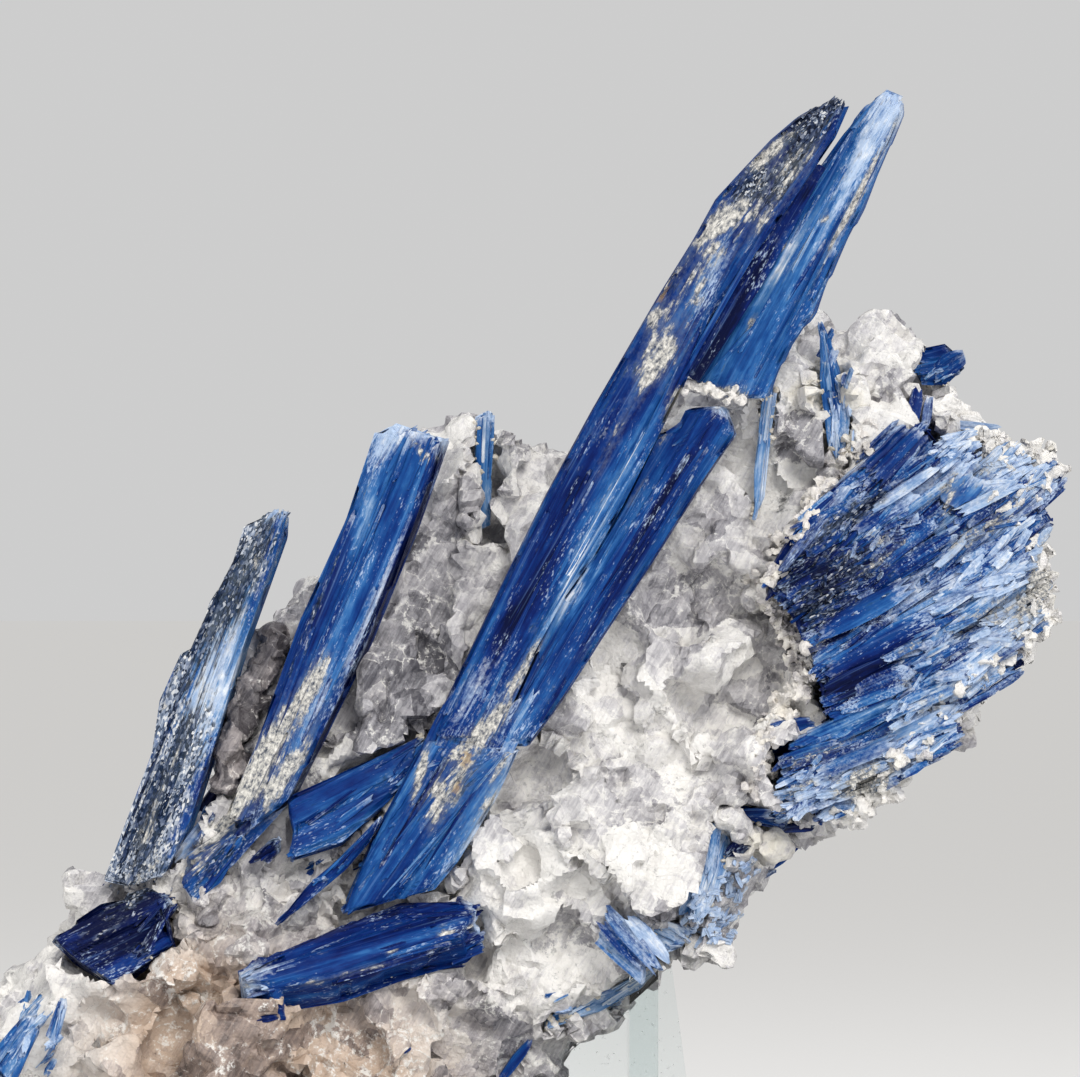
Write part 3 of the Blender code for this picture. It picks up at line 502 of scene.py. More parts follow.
RUST = [
    (21.6, 136.2, 2.4, 1.8, 60, 0.95), (37.2, 145.4, 4.0, 1.0, 60, 0.8), (-5.2, 72.5, 3.4, 2.0, 75, 1.2),
    (-6.6, 68.4, 3.2, 1.6, 60, 1.1), (-33.0, 66.0, 5.0, 1.6, 50, 0.35), (74.0, 102.6, 3.0, 2.0, 80, 0.5),
]


def patches(points, spots):
    """How much of a coat lies at each point, from a list of patches."""
    amount = np.zeros(len(points))
    for x, z, length, width, lean, strength in spots:
        turn = math.radians(lean)
        dx, dz = points[:, 0] / MM - x, points[:, 2] / MM - z
        along = (dx * math.cos(turn) + dz * math.sin(turn)) / (length / 2)
        across = (dz * math.cos(turn) - dx * math.sin(turn)) / (width / 2)
        amount += strength * np.exp(-0.9 * (along ** 2 + across ** 2))
    return amount


print("clay on the main blade's left edge:", patches(np.array([[21.8, 0, 129.2]]) * MM, CLAY).round(2))

# %% [markdown]
# ## Kyanite as a material
#
# Kyanite is an aluminium silicate with a high refractive index, about 1.72, and a silky shine along its
# fibres. Its blue comes in zones along the blade, from navy to nearly white. The mesh carries three
# attributes. "fibre" holds the distance across, along and into the blade, so that noise stretched along it
# draws fibres that follow each blade. "coat" holds the blade's tone, with painted light and painted shade
# added to it in places, and how much clay, mica and rust lies there, and "frost" how crushed and white it is.

# %% Kyanite
KYANITE_NOISES = {  # width across and length along the fibres in millimetres, detail, roughness
    "zones": (2.2, 70.0, 3.0, 0.5),
    "fibres": (0.30, 14.0, 4.0, 0.65),  # real fibres are finer, and are drawn this wide so that they show
    "mottle": (1.1, 3.2, 4.0, 0.6),
    "crumbs": (0.55, 0.83, 5.0, 0.7),
    "lines": (0.55, 34.0, 3.0, 0.6),
    "dashes": (0.26, 0.9, 3.5, 0.65),
    "dash field": (3.6, 9.0, 3.0, 0.5),
    "haze": (3.0, 7.0, 4.0, 0.65),
    "lumps": (0.95, 2.6, 6.0, 0.72),
}
PLATE = (0.27, 0.55)  # millimetres across and along a plate of mica
DARK_MICA = [
    (0.0, "#04060b"), (0.32, "#0c111b"), (0.55, "#1a2740"), (0.74, "#35405a"), (0.9, "#6a7386"),
    (1.0, "#c4c7cb"),
]
SPECKLED_MICA = [
    (0.0, "#141a24"), (0.18, "#353f50"), (0.38, "#667287"), (0.58, "#8f9aad"), (0.78, "#b9c0cb"),
    (1.0, "#ebeae6"),
]
FROST_TINTS = [(0.3, "#7795c0"), (0.48, "#adc0da"), (0.6, "#e0e7f0"), (0.76, "#f8fafc")]
CLAY_TINTS = [(0.34, "#3c434e"), (0.42, "#83858a"), (0.5, "#b9b7b2"), (0.58, "#dcd9d2"), (0.68, "#f3f1ec")]


def kyanite_material(name, blues, roughness, haze, mica_stops, crush):
    """Striated kyanite with frost, clay, mica and rust on it. blues are the ramp's stops from deep to pale,
    and crush is 0 for a whole blade and 1 for blades broken into short fibres."""
    material, tree, shader = new_material(name)
    fibre = add(tree, "ShaderNodeAttribute", {"attribute_name": "fibre"}).outputs["Vector"]
    coat = add(tree, "ShaderNodeAttribute", {"attribute_name": "coat"})
    frost = add(tree, "ShaderNodeAttribute", {"attribute_name": "frost"}).outputs["Fac"]
    parts = add(tree, "ShaderNodeSeparateColor", Color=coat.outputs["Color"])
    # The tone carries the painted light and painted shade of the patches and of the blade's sides.
    tone, clay, mica = (parts.outputs[key] for key in ("Red", "Green", "Blue"))
    rust = coat.outputs["Alpha"]

    # Every noise is stretched along the blade. Crushing makes all of them shorter.
    noise = {}
    for key, (width, length, detail, rough) in KYANITE_NOISES.items():
        scale = (1000 / width, (1 + 1.2 * crush) * 1000 / length, 1000 / width)
        place = add(tree, "ShaderNodeMapping", Vector=fibre, Scale=scale)
        noise[key] = add(tree, "ShaderNodeTexNoise", Vector=place, Scale=1.0, Detail=detail, Roughness=rough)

    # The blue: zones, fibres and mottle shift the blade's tone along the ramp.
    shade = tone
    for key, share in (
        ("zones", 0.75), ("fibres", 0.42 + 0.60 * crush), ("mottle", 0.40 + 0.16 * crush), ("haze", 0.45),
    ):
        centred = add(tree, "ShaderNodeMath", MINUS, in_0=noise[key], in_1=0.5)
        shade = add(tree, "ShaderNodeMath", TIMES_PLUS, in_0=centred, in_1=share, in_2=shade)
    blue = add(tree, "ShaderNodeValToRGB", stops=blues, Fac=shade)

    # How far each coat reaches: its patch and the noises at its edge, between a start and its full cover.
    masks = {}
    for key, amount, sums, start, full, most in (
        ("thread", None, (("lines", 1.0),), 0.60, 0.74, 0.28),
        ("frost", frost, (("fibres", 0.6), ("crumbs", 1.0)), 1.06, 1.60, 0.92),
        (
            "dashes", frost, (("dash field", 0.85), ("dashes", 1.0)),
            1.10 - 0.04 * crush, 1.24 - 0.02 * crush, 0.8,
        ),
        ("mica", mica, (("mottle", 1.6), ("fibres", 1.1), ("haze", 0.8)), 2.02, 2.36, 0.92),
        ("dust", clay, (("crumbs", 0.9), ("haze", 1.1)), 1.16, 1.80, 0.55),
        ("clay", clay, (("lumps", 1.35), ("haze", 1.5), ("fibres", 0.5)), 2.12, 2.30, 0.96),
        ("rust", rust, (("lumps", 1.2), ("crumbs", 1.2)), 1.80, 2.20, 0.62),
    ):
        total = amount
        if key == "dashes":
            total = add(tree, "ShaderNodeMath", TIMES, in_0=frost, in_1=0.22)
        for part, share in sums:
            total = add(
                tree, "ShaderNodeMath", TIMES_PLUS,
                in_0=noise[part], in_1=share, in_2=0.0 if total is None else total,
            )
        masks[key] = add(
            tree, "ShaderNodeMapRange", Value=total, From_Min=start, From_Max=full, To_Max=most,
        )

    # Mica lies in plates along the fibres, each of its own tone.
    plate_scale = (1000 / PLATE[0], 1000 / PLATE[1], 1000 / PLATE[0])
    plate_place = add(tree, "ShaderNodeMapping", Vector=fibre, Scale=plate_scale)
    plates = add(tree, "ShaderNodeTexVoronoi", Vector=plate_place, Scale=1.0, Randomness=1.0)
    plate_tone = add(tree, "ShaderNodeSeparateColor", Color=plates.outputs["Color"]).outputs["Red"]
    frost_tint = add(tree, "ShaderNodeValToRGB", Fac=noise["mottle"], stops=FROST_TINTS)
    mica_tint = add(tree, "ShaderNodeValToRGB", Fac=plate_tone, stops=mica_stops)
    clay_tint = add(tree, "ShaderNodeValToRGB", Fac=noise["crumbs"], stops=CLAY_TINTS)

    # The coats in the order in which they lie: open cleavage cracks show as thin pale threads, crushed places
    # as pale grains with dashes around them, then mica, dust, clay and iron stain.
    colour = blue
    for key, tint in (
        ("thread", linear("#7ba2d8")), ("frost", frost_tint), ("dashes", linear("#b4c8e4")),
        ("mica", mica_tint), ("dust", linear("#7c8794")), ("clay", clay_tint), ("rust", linear("#a88a58")),
    ):
        colour = add(tree, "ShaderNodeMix", OF_COLOURS, in_0=masks[key], in_6=colour, in_7=tint).outputs[2]
    tree.links.new(colour, shader.inputs["Base Color"])

    # Silky on the fibres, dull on clay.
    rough_fibre = add(
        tree, "ShaderNodeMapRange", Value=noise["fibres"],
        From_Min=0.3, From_Max=0.7, To_Min=roughness - 0.12, To_Max=roughness + 0.14,
    )
    rough = add(tree, "ShaderNodeMix", OF_NUMBERS, in_0=masks["clay"], in_2=rough_fibre, in_3=0.85)
    tree.links.new(rough.outputs[0], shader.inputs["Roughness"])

    clay_height = add(tree, "ShaderNodeMath", TIMES, in_0=noise["lumps"], in_1=masks["clay"])
    relief = add(tree, "ShaderNodeMath", TIMES_PLUS, in_0=clay_height, in_1=2.2, in_2=noise["fibres"])
    bump = add(tree, "ShaderNodeBump", Strength=0.5, Distance=0.22 * MM, Height=relief)
    tree.links.new(bump.outputs[0], shader.inputs["Normal"])
    shader.inputs["IOR"].default_value = 1.72
    shader.inputs["Specular IOR Level"].default_value = haze
    return material


KYANITE_BLUES = [
    (0.0, "#010a33"), (0.18, "#041c5c"), (0.34, "#0a3377"), (0.48, "#174a8c"), (0.62, "#3268a6"),
    (0.76, "#5f88b8"), (0.88, "#99b0cd"), (1.0, "#e0e6ee"),
]
kyanite = kyanite_material("Striated kyanite", KYANITE_BLUES, 0.42, 0.06, DARK_MICA, 0.0)
crushed = kyanite_material("Crushed kyanite", KYANITE_BLUES, 0.52, 0.06, DARK_MICA, 1.0)
coated = kyanite_material("Kyanite with mica grown into it", KYANITE_BLUES, 0.46, 0.10, SPECKLED_MICA, 0.4)
print("kyanite nodes:", len(kyanite.node_tree.nodes))

# %% [markdown]
# ## The blades
#
# Each blade starts as a unit slab of small faces. Its cross sections carry the slab onto the solid, so the
# blade has the solid's place and outline. Then the steps lower its face, its sides are split into layers,
# and its ends break back by a different length on each lath. All of this only takes material away, so a
# blade never outgrows its solid.

# %% Blades
COLUMN = 0.24 * MM  # width of a small face: about a fibre
ROW = 0.8 * MM
LAYERS = 5
SIDE_STEP = 0.45 * MM  # how far the layers of a blade's sides stand back from each other
LAYER_LENGTH = 14 * MM
BROKEN_END = 6 * MM  # how far from its end a blade is broken back
TEETH = [(2.6, 0.40), (1.1, 0.33), (0.45, 0.27)]  # width (mm) and share of the jags at a broken end
# width, length (mm) and share of the streaks in which frost and light lie
STREAKS = [(0.9, 22.0, 0.6), (0.36, 9.0, 0.7), (0.36, 2.4, 0.4)]


def carry_attributes(mesh, fibre, points, tone, frost, facing):
    """Stores the fibre places and the coats at a mesh's points, with painted light and painted shade in the tone.
    facing is 1 on the show side, 0 elsewhere.
    """
    across, along = fibre[:, 0] / MM, fibre[:, 1] / MM
    streak = 0.15
    for width, length, share in STREAKS:
        column = np.floor(across / width)
        streak = streak + share * chance(column, np.floor(along / length + 7 * chance(column)))
    frosted = patches(points, FROST) * streak
    # The paler and deeper patches add painted light and painted shade to the tone, along with the blue's own
    # zones.
    shade = tone + facing * (0.16 * frosted + streak * patches(points, PALER_AND_PAINTED_LIGHT) - 0.45 * patches(points, DEEPER_AND_PAINTED_SHADE))
    coat = np.column_stack([
        np.clip(shade, 0, 1.1),
        facing * patches(points, CLAY),
        facing * patches(points, MICA),
        facing * patches(points, RUST),
    ])
    store(mesh, "fibre", "FLOAT_VECTOR", fibre)
    store(mesh, "coat", "FLOAT_COLOR", coat)
    store(mesh, "frost", "FLOAT", frost + facing * 0.62 * frosted)


def blade(name, seed, tone=0.42, jag=(1.5, 3.0), steps=1.0, painted_side_light_and_shade=0.0, side=SHOW):
    """Makes the blade that stands for a solid. jag is how far its root and its tip break back, in mm, steps is
    how high its stair is against LATHS, and the side tone is painted light (paler sides) above 0 and painted
    shade (darker sides) below 0."""
    sections = Sections(nodes[name], side, ROW)
    columns = max(6, round(sections.width / COLUMN))
    mesh = unit_slab(columns, len(sections.rows) - 1, LAYERS)
    slab = points_of(mesh)
    local = sections.place(slab)
    across, along, out = local.T
    share, _along_share, layer = slab.T

    height, steps_tone = lath_steps(across, along, seed)
    on_face, on_back = layer < 0.01, layer > 0.99
    rim = np.minimum(share, 1 - share) * columns
    inner = np.clip(rim / 1.5, 0, 1)
    out = out + np.where(on_face, height * steps * inner, 0) - np.where(on_back, height * steps * inner, 0)

    layer_number = np.rint(layer * LAYERS)
    stretch = np.floor(along / LAYER_LENGTH + 5 * chance(layer_number, seed))
    side_depth = chance(layer_number, stretch, seed) * SIDE_STEP
    wall = (layer > 0.01) & (layer < 0.99)
    across = across + np.where(wall, np.where(share < 0.5, side_depth, -side_depth), 0)

    ragged = 0
    for width, part in TEETH:
        ragged = ragged + part * chance(np.floor(across / (width * MM)), np.floor(layer * 2.2), seed)
    root_reach, tip_reach = (
        np.clip(1 - away / BROKEN_END, 0, 1) ** 1.5
        for away in (along - sections.rows[0], sections.rows[-1] - along)
    )
    along = along + ragged * MM * (jag[0] * root_reach - jag[1] * tip_reach)

    placed = np.column_stack([across, along, out])
    points = placed @ sections.directions + sections.middle
    move_points(mesh, points)
    frost = 0.95 * tip_reach ** 2.5 + 0.35 * root_reach ** 2 + 0.12 * np.exp(-rim / 1.5)
    facing = np.where(layer < 0.9, 1.0, 0.0) if side == SHOW else np.zeros_like(layer)
    # The sides get their blade's painted light and shade, and each layer a tone of its own.
    wall_tone_and_painted_shade = np.where(wall, painted_side_light_and_shade + 0.2 * (side_depth / SIDE_STEP - 0.6), 0)
    carry_attributes(mesh, placed, points, tone + steps_tone + wall_tone_and_painted_shade, frost, facing)
    is_coated = name == "coated_blade"
    mesh.materials.append(coated if is_coated else kyanite)
    mesh.update()
    piece = piece_of(f"{name}_crystal", mesh)
    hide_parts(name)
    return piece, sections


BLADES = {  # seed, tone, how far root and tip break back, height of the steps, painted light (above 0) and painted shade (below 0) on the sides
    "main_blade": (1, 0.36, (0.0, 3.0), 0.4, -0.10),
    "tall_side_blade": (2, 0.46, (1.4, 2.6), 0.5, 0.12),
    "low_side_blade": (3, 0.33, (1.0, 0.5), 0.35, -0.26),
    "foot_blade": (4, 0.42, (1.5, 0.0), 0.6, -0.05),
    "left_blade": (5, 0.41, (2.0, 2.6), 0.5, -0.34),
    "coated_blade": (6, 0.50, (1.5, 3.5), 0.8, 0.02),
    "needle_blade": (7, 0.70, (1.0, 1.0), 0.3, -0.10),
    "cross_blade": (8, 0.38, (1.5, 1.5), 1.0, 0.0),
    "sliver_blade": (9, 0.28, (0.6, 1.0), 1.0, 0.0),
    "low_blade": (10, 0.25, (1.2, 2.4), 0.8, -0.10),
    "corner_blade": (11, 0.10, (1.5, 2.0), 1.0, -0.10),
    "root_blade": (12, 0.44, (1.0, 1.0), 1.0, 0.0),
    "dark_stub": (13, 0.10, (0.5, 0.5), 1.0, 0.0),
    "corner_rod_long": (14, 0.55, (1.0, 1.0), 1.0, 0.0),
    "corner_rod_short": (15, 0.50, (0.6, 0.8), 1.0, 0.0),
    "rim_stub": (16, 0.48, (1.0, 1.5), 1.0, 0.0),
    "pale_blade": (17, 0.62, (1.0, 1.0), 1.0, 0.0),
    "pale_needle": (18, 0.78, (0.8, 0.8), 0.8, 0.0),
    "rim_blade_curved": (19, 0.76, (0.8, 0.8), 0.8, 0.0),
    "rim_blade_flat": (20, 0.80, (0.8, 0.8), 0.8, 0.0),
    "rim_blade_upright": (21, 0.80, (0.8, 1.0), 0.6, 0.0),
    "rim_blade_thin": (22, 0.40, (0.8, 0.8), 0.8, 0.0),
}
crystals = {name: blade(name, *settings) for name, settings in BLADES.items()}
for name, seed in (("back_blade_long", 23), ("back_blade_short", 24)):
    crystals[name] = blade(name, seed, 0.34, (2.0, 2.5), side=REAR)
print("blade faces:", sum(len(piece.data.polygons) for piece, _sections in crystals.values()))

# %% [markdown]
# ## Quartz as a material
#
# Vein quartz is a crowd of grains without crystal faces, grown into each other and broken through. Clear
# grains look like grey windows, and grains full of tiny cracks and fluid bubbles look milky. Where grains
# meet it crumbles, which draws ragged white veins. So each grain is a Voronoi cell with a grey of its own
# and its own small tilt, which the cell's random colour gives, and a crumbly noise whitens its border.
# Three sizes of grain are added up. The mesh carries an attribute "stain": how milky, how brown and how cream
# each place is, and how much painted shade of crevices lies there. A lowered milky share also paints shade
# between the blades.

# %% Quartz
CLOUD = 9.0  # millimetres across a milky cloud
MOTTLE = 2.6
CRUMBLE = 0.9  # millimetres across a crumb in a vein
# size in millimetres, how far noise pushes its borders (mm), share of the tone, tilt of its flat, its vein
GRAINS = [
    (7.0, 2.4, 0.74, 0.30, 0.09),
    (3.0, 1.5, 0.34, 0.22, 0.05),
    (1.2, 0.8, 0.20, 0.16, 0.0),
]
QUARTZ_GREYS = [
    (0.0, "#5b5a61"), (0.2, "#87868c"), (0.42, "#aaa8ad"), (0.6, "#c4c2c5"), (0.8, "#dddbdb"),
    (1.0, "#f0eeeb"),
]


def quartz_material(name):
    """Glassy vein quartz: grey windows, milky veils, stains from clay and iron, and painted shade in pits and
    crevices.
    """
    material, tree, shader = new_material(name)
    place = add(tree, "ShaderNodeTexCoord").outputs["Object"]
    stain = add(tree, "ShaderNodeAttribute", {"attribute_name": "stain"})
    parts = add(tree, "ShaderNodeSeparateColor", Color=stain.outputs["Color"])
    # The milky share is lowered in places, which paints shade between the blades; the last channel is painted
    # shade of crevices.
    milky, brown, cream = (parts.outputs[key] for key in ("Red", "Green", "Blue"))
    dark = stain.outputs["Alpha"]

    clouds = add(tree, "ShaderNodeTexNoise", Vector=place, Scale=1000 / CLOUD, Detail=3.0, Roughness=0.5)
    mottle = add(tree, "ShaderNodeTexNoise", Vector=place, Scale=1000 / MOTTLE, Detail=5.0, Roughness=0.62)
    crumble = add(
        tree, "ShaderNodeTexNoise", Vector=place, Scale=1000 / CRUMBLE, Detail=5.0, Roughness=0.72,
    )
    nudge = add(
        tree, "ShaderNodeTexNoise", Vector=place, Scale=1000 / MOTTLE, Detail=4.0, Roughness=0.6,
    ).outputs["Color"]
    # Fibres of milky bubbles run through it, 60 degrees up to the right.
    leaning = add(
        tree, "ShaderNodeMapping", {"vector_type": "TEXTURE"}, Vector=place,
        Rotation=(0, math.radians(-60), 0), Scale=(6 * MM, 2 * MM, 0.5 * MM),
    )
    strands = add(tree, "ShaderNodeTexNoise", Vector=leaning, Scale=1.0, Detail=4.0, Roughness=0.65)

    # How white each place is: its stain, its grains, and the noises, each with its share around the middle.
    white, vein, height = milky, None, None
    for size, push, share, tilt, vein_width in GRAINS:
        nudged = add(tree, "ShaderNodeVectorMath", TIMES_PLUS, in_0=nudge, in_1=[push * MM] * 3, in_2=place)
        grain = add(tree, "ShaderNodeTexVoronoi", Vector=nudged, Scale=1000 / size)
        tone = add(tree, "ShaderNodeSeparateColor", Color=grain.outputs["Color"]).outputs["Red"]
        centred = add(tree, "ShaderNodeMath", MINUS, in_0=tone, in_1=0.5)
        white = add(tree, "ShaderNodeMath", TIMES_PLUS, in_0=centred, in_1=share, in_2=white)
        # The grain's flat: its height grows along the direction that the cell's random colour names.
        lean = add(
            tree, "ShaderNodeVectorMath", TIMES_PLUS,
            in_0=grain.outputs["Color"], in_1=[2 * tilt] * 3, in_2=[-tilt] * 3,
        )
        middle = add(
            tree, "ShaderNodeVectorMath", {"operation": "SCALE"}, in_0=grain.outputs["Position"], Scale=size * MM,
        )
        inside = add(tree, "ShaderNodeVectorMath", MINUS, in_0=nudged, in_1=middle)
        rise = add(
            tree, "ShaderNodeVectorMath", {"operation": "DOT_PRODUCT"}, in_0=inside, in_1=lean,
        ).outputs["Value"]
        height = rise if height is None else add(tree, "ShaderNodeMath", PLUS, in_0=height, in_1=rise)
        if not vein_width:
            continue
        edge = add(
            tree, "ShaderNodeTexVoronoi", {"feature": "DISTANCE_TO_EDGE"}, Vector=nudged, Scale=1000 / size,
        ).outputs["Distance"]
        near = add(
            tree, "ShaderNodeMapRange", {"interpolation_type": "SMOOTHSTEP"}, Value=edge,
            From_Min=0.0, From_Max=vein_width, To_Min=1.0, To_Max=0.0,
        )
        vein = near if vein is None else add(
            tree, "ShaderNodeMath", {"operation": "MAXIMUM"}, in_0=vein, in_1=near)
    for noise, share in ((clouds, 0.30), (mottle, 0.30), (strands, 1.0)):
        centred = add(tree, "ShaderNodeMath", MINUS, in_0=noise, in_1=0.5)
        white = add(tree, "ShaderNodeMath", TIMES_PLUS, in_0=centred, in_1=share, in_2=white)
    patchy = add(tree, "ShaderNodeMapRange", Value=mottle, From_Min=0.40, From_Max=0.62, To_Max=0.34)
    white = add(tree, "ShaderNodeMath", TIMES_PLUS, in_0=vein, in_1=patchy, in_2=white)
    body = add(tree, "ShaderNodeValToRGB", Fac=white, stops=QUARTZ_GREYS)

    # Veins crumble: where clouds allow it, white crumbs lie beside dark grey spots where the bump dips, painted
    # shade of small pits.
    open_places = add(tree, "ShaderNodeMapRange", Value=clouds, From_Min=0.40, From_Max=0.62, To_Max=0.15)
    broken = add(tree, "ShaderNodeMapRange", Value=mottle, From_Min=0.42, From_Max=0.60, To_Max=0.17)
    vein_share = add(tree, "ShaderNodeMath", TIMES_PLUS, in_0=vein, in_1=broken, in_2=open_places)
    crumb_sum = add(tree, "ShaderNodeMath", TIMES_PLUS, in_0=milky, in_1=0.10, in_2=crumble)
    crumbly = add(tree, "ShaderNodeMath", PLUS, in_0=crumb_sum, in_1=vein_share)
    crumbs_mask = add(tree, "ShaderNodeMapRange", Value=crumbly, From_Min=0.74, From_Max=0.84, To_Max=0.85)
    pit_shade_sum = add(tree, "ShaderNodeMath", MINUS, in_0=vein_share, in_1=crumble)
    pit_shade = add(tree, "ShaderNodeMapRange", Value=pit_shade_sum, From_Min=-0.26, From_Max=-0.16, To_Max=0.45)
    cream_sum = add(tree, "ShaderNodeMath", PLUS, in_0=cream, in_1=mottle)
    cream_mask = add(tree, "ShaderNodeMapRange", Value=cream_sum, From_Min=0.80, From_Max=1.12, To_Max=0.9)
    # Near-black crumbs where the stain's last channel is high: painted shade of crevices.
    crevice_shade_sum = add(tree, "ShaderNodeMath", TIMES_PLUS, in_0=crumble, in_1=1.2, in_2=dark)
    crevice_shade_mask = add(tree, "ShaderNodeMapRange", Value=crevice_shade_sum, From_Min=0.98, From_Max=1.16, To_Max=0.85)
    clamped = {"operation": "MULTIPLY_ADD", "use_clamp": True}
    warm = add(tree, "ShaderNodeMath", clamped, in_0=clouds, in_1=brown, in_2=brown)
    colour = add(
        tree, "ShaderNodeMix", {"data_type": "RGBA", "blend_type": "MULTIPLY"},
        in_0=warm, in_6=body, in_7=linear("#d8c3b2"),
    ).outputs[2]
    for mask, tint in (
        (pit_shade, linear("#55565c")), (crumbs_mask, linear("#f2f0ec")),
        (cream_mask, linear("#f1ecde")), (crevice_shade_mask, linear("#2c2f36")),
    ):
        colour = add(tree, "ShaderNodeMix", OF_COLOURS, in_0=mask, in_6=colour, in_7=tint).outputs[2]
    tree.links.new(colour, shader.inputs["Base Color"])

    gloss = add(
        tree, "ShaderNodeMapRange", Value=mottle, From_Min=0.35, From_Max=0.65, To_Min=0.14, To_Max=0.36,
    )
    dull = add(tree, "ShaderNodeMix", OF_NUMBERS, in_0=cream_mask, in_2=gloss, in_3=0.85)
    tree.links.new(dull.outputs[0], shader.inputs["Roughness"])
    relief = add(tree, "ShaderNodeMath", TIMES_PLUS, in_0=crumble, in_1=0.35 * MM, in_2=height)
    bump = add(tree, "ShaderNodeBump", Strength=0.8, Distance=1.0, Height=relief)
    tree.links.new(bump.outputs[0], shader.inputs["Normal"])
    shader.inputs["IOR"].default_value = 1.544
    return material


quartz = quartz_material("Vein quartz")
print("quartz nodes:", len(quartz.node_tree.nodes))

# %% [markdown]
# ## The quartz slab
#
# Quartz has no cleavage. It breaks along grain borders and in shell-shaped chips, so its surface is a crowd
# of flats at all angles, most of them 4 to 12 mm across. Displacement by a noise would give soft hills.
# Here the solid is remeshed finely, and each point is moved onto the flat of the chip that it belongs to.
# Close to the border of two chips it lies between both flats, which leaves a narrow crease.

# %% Slab of broken quartz
QUARTZ_VOXEL = 0.60 * MM
CHIPS = [(11.0, 0.20, 1.2), (5.0, 0.34, 0.9), (2.2, 0.16, 0.12)]  # spacing (mm), tilt, greatest shift (mm)
CREASE = 0.14  # width of a crease as a share of the spacing
CREASE_ANGLE = math.radians(38)  # flats that meet at more than this look sharp
# x, z, reach (mm), amount; a negative amount makes the quartz greyer, partly clearer quartz and partly painted
# shade between the blades
MILKY_AND_SHADE = [
    (10, 62, 18, 0.20), (-2, 46, 14, 0.10), (22, 74, 14, 0.16), (-38, 38, 14, 0.10), (-68, 26, 16, 0.30),
    (50, 123, 12, 0.30), (74, 95, 9, 0.4), (70, 84, 10, 0.35), (73, 112, 10, 0.3), (-10, 90, 12, -0.16),
    (-16, 104, 8, -0.06), (-9, 112, 8, 0.16), (-9, 58, 8, 0.1), (54, 72, 9, 0.3), (-24, 57, 9, 0.16),
    (-34, 88, 9, -0.10), (29, 109, 12, 0.14), (31, 91, 10, 0.06), (4, 114, 8, 0.16), (-12, 90, 12, -0.20),
    (-14, 80, 10, -0.02), (-9, 101, 8, -0.16), (48, 124, 10, -0.2), (38, 116, 7, -0.14),
    (28, 92, 10, -0.10), (-16, 42, 12, 0.14), (-62, 42, 12, 0.26), (14, 72, 14, 0.08),
]
EVEN_MILK = 0.62
BROWN = [(-36, 30, 14, 0.6), (-44, 38, 9, 0.5), (-28, 20, 16, 0.6), (-16, 26, 14, 0.3), (-50, 20, 14, 0.4)]
CREAM = [
    (42, 92, 5, 0.45), (43, 82, 5, 0.4), (48, 120, 6, 0.38), (46, 127, 4, 0.36), (41, 124, 3, 0.3),
    (36, 60, 5, 0.5), (-35, 66, 4, 0.4), (-26, 72, 5, 0.3), (20, 50, 4, 0.2), (16, 42, 6, 0.2),
    (40, 74, 4, 0.3), (70, 84, 6, 0.25), (60, 72, 6, 0.22), (74, 96, 6, 0.3), (-40, 37, 6, 0.2),
]
# x, z, reach (mm), amount of near-black crumbs: painted shade of crevices and gaps
CREVICE_SHADE = [
    (-35, 92, 3, 0.45), (-33, 97, 3, 0.4), (-38, 84, 4, 0.32), (-37, 76, 5, 0.25), (38.5, 108, 2.4, 0.5),
    (-15, 92, 9, 0.10), (-14, 80, 9, 0.10), (3, 116, 3, 0.2), (-41, 68, 4, 0.3), (-38, 58, 3, 0.4),
]

# x, z, reach, depth (mm): places where the slab's rim is broken back further
DENTS = [
    (1.2, 119.5, 3.0, 3.0), (-57.0, 35.5, 3.5, 1.5), (26.5, 43.5, 4.5, 1.6), (45.0, 61.5, 4.0, 1.2),
    (64.0, 79.0, 4.0, 1.0), (61.0, 124.0, 3.0, 1.0),
]


def stains(points, places):
    """How strongly each point is reached by round stains."""
    amount = np.zeros(len(points))
    for x, z, reach, strength in places:
        away = ((points[:, 0] / MM - x) ** 2 + (points[:, 2] / MM - z) ** 2) / reach ** 2
        amount += strength * np.exp(-0.9 * away)
    return amount


def chipped(points, normals, spacing, tilt, most, rng, voxel=QUARTZ_VOXEL / MM):
    """Moves each point onto the flat of its chip. Lengths are in millimetres."""
    count = max(8, int(len(points) * voxel ** 2 / spacing ** 2))
    chosen = rng.choice(len(points), count, replace=False)
    sites, flats = points[chosen], normals[chosen] + rng.normal(0, tilt, (count, 3))
    flats /= np.linalg.norm(flats, axis=1)[:, None]
    tree = KDTree(count)
    for index, site in enumerate(sites):
        tree.insert(site, index)
    tree.balance()
    warp = 0.10 * spacing * MM * np.sin(points[:, [1, 2, 0]] * (5.2 / (spacing * MM)))
    found = [tree.find_n(point, 3) for point in points + warp]
    near = np.array([[item[1] for item in three] for three in found])
    away = np.array([[item[2] for item in three] for three in found]) / (spacing * MM)
    weight = np.exp((away[:, :1] ** 2 - away ** 2) / CREASE ** 2)
    weight /= weight.sum(axis=1)[:, None]
    slope = np.clip((normals[:, None] * flats[near]).sum(axis=2), 0.45, 1.0)
    shift = ((sites[near] - points[:, None]) * flats[near]).sum(axis=2) / slope
    shift = (np.clip(shift, -most * MM, most * MM) * weight).sum(axis=1) - 0.4 * most * MM
    return points + normals * shift[:, None]


def vertex_normals(mesh):
    """The direction out of the surface at each point, as rows."""
    normals = np.empty(len(mesh.vertices) * 3, np.float32)
    mesh.vertex_normals.foreach_get("vector", normals)
    return normals.reshape(-1, 3).astype(np.float64)


def apply_modifiers(piece):
    """Gives a piece the mesh that its modifiers make."""
    graph = bpy.context.evaluated_depsgraph_get()
    piece.data = bpy.data.meshes.new_from_object(piece.evaluated_get(graph))
    piece.modifiers.clear()


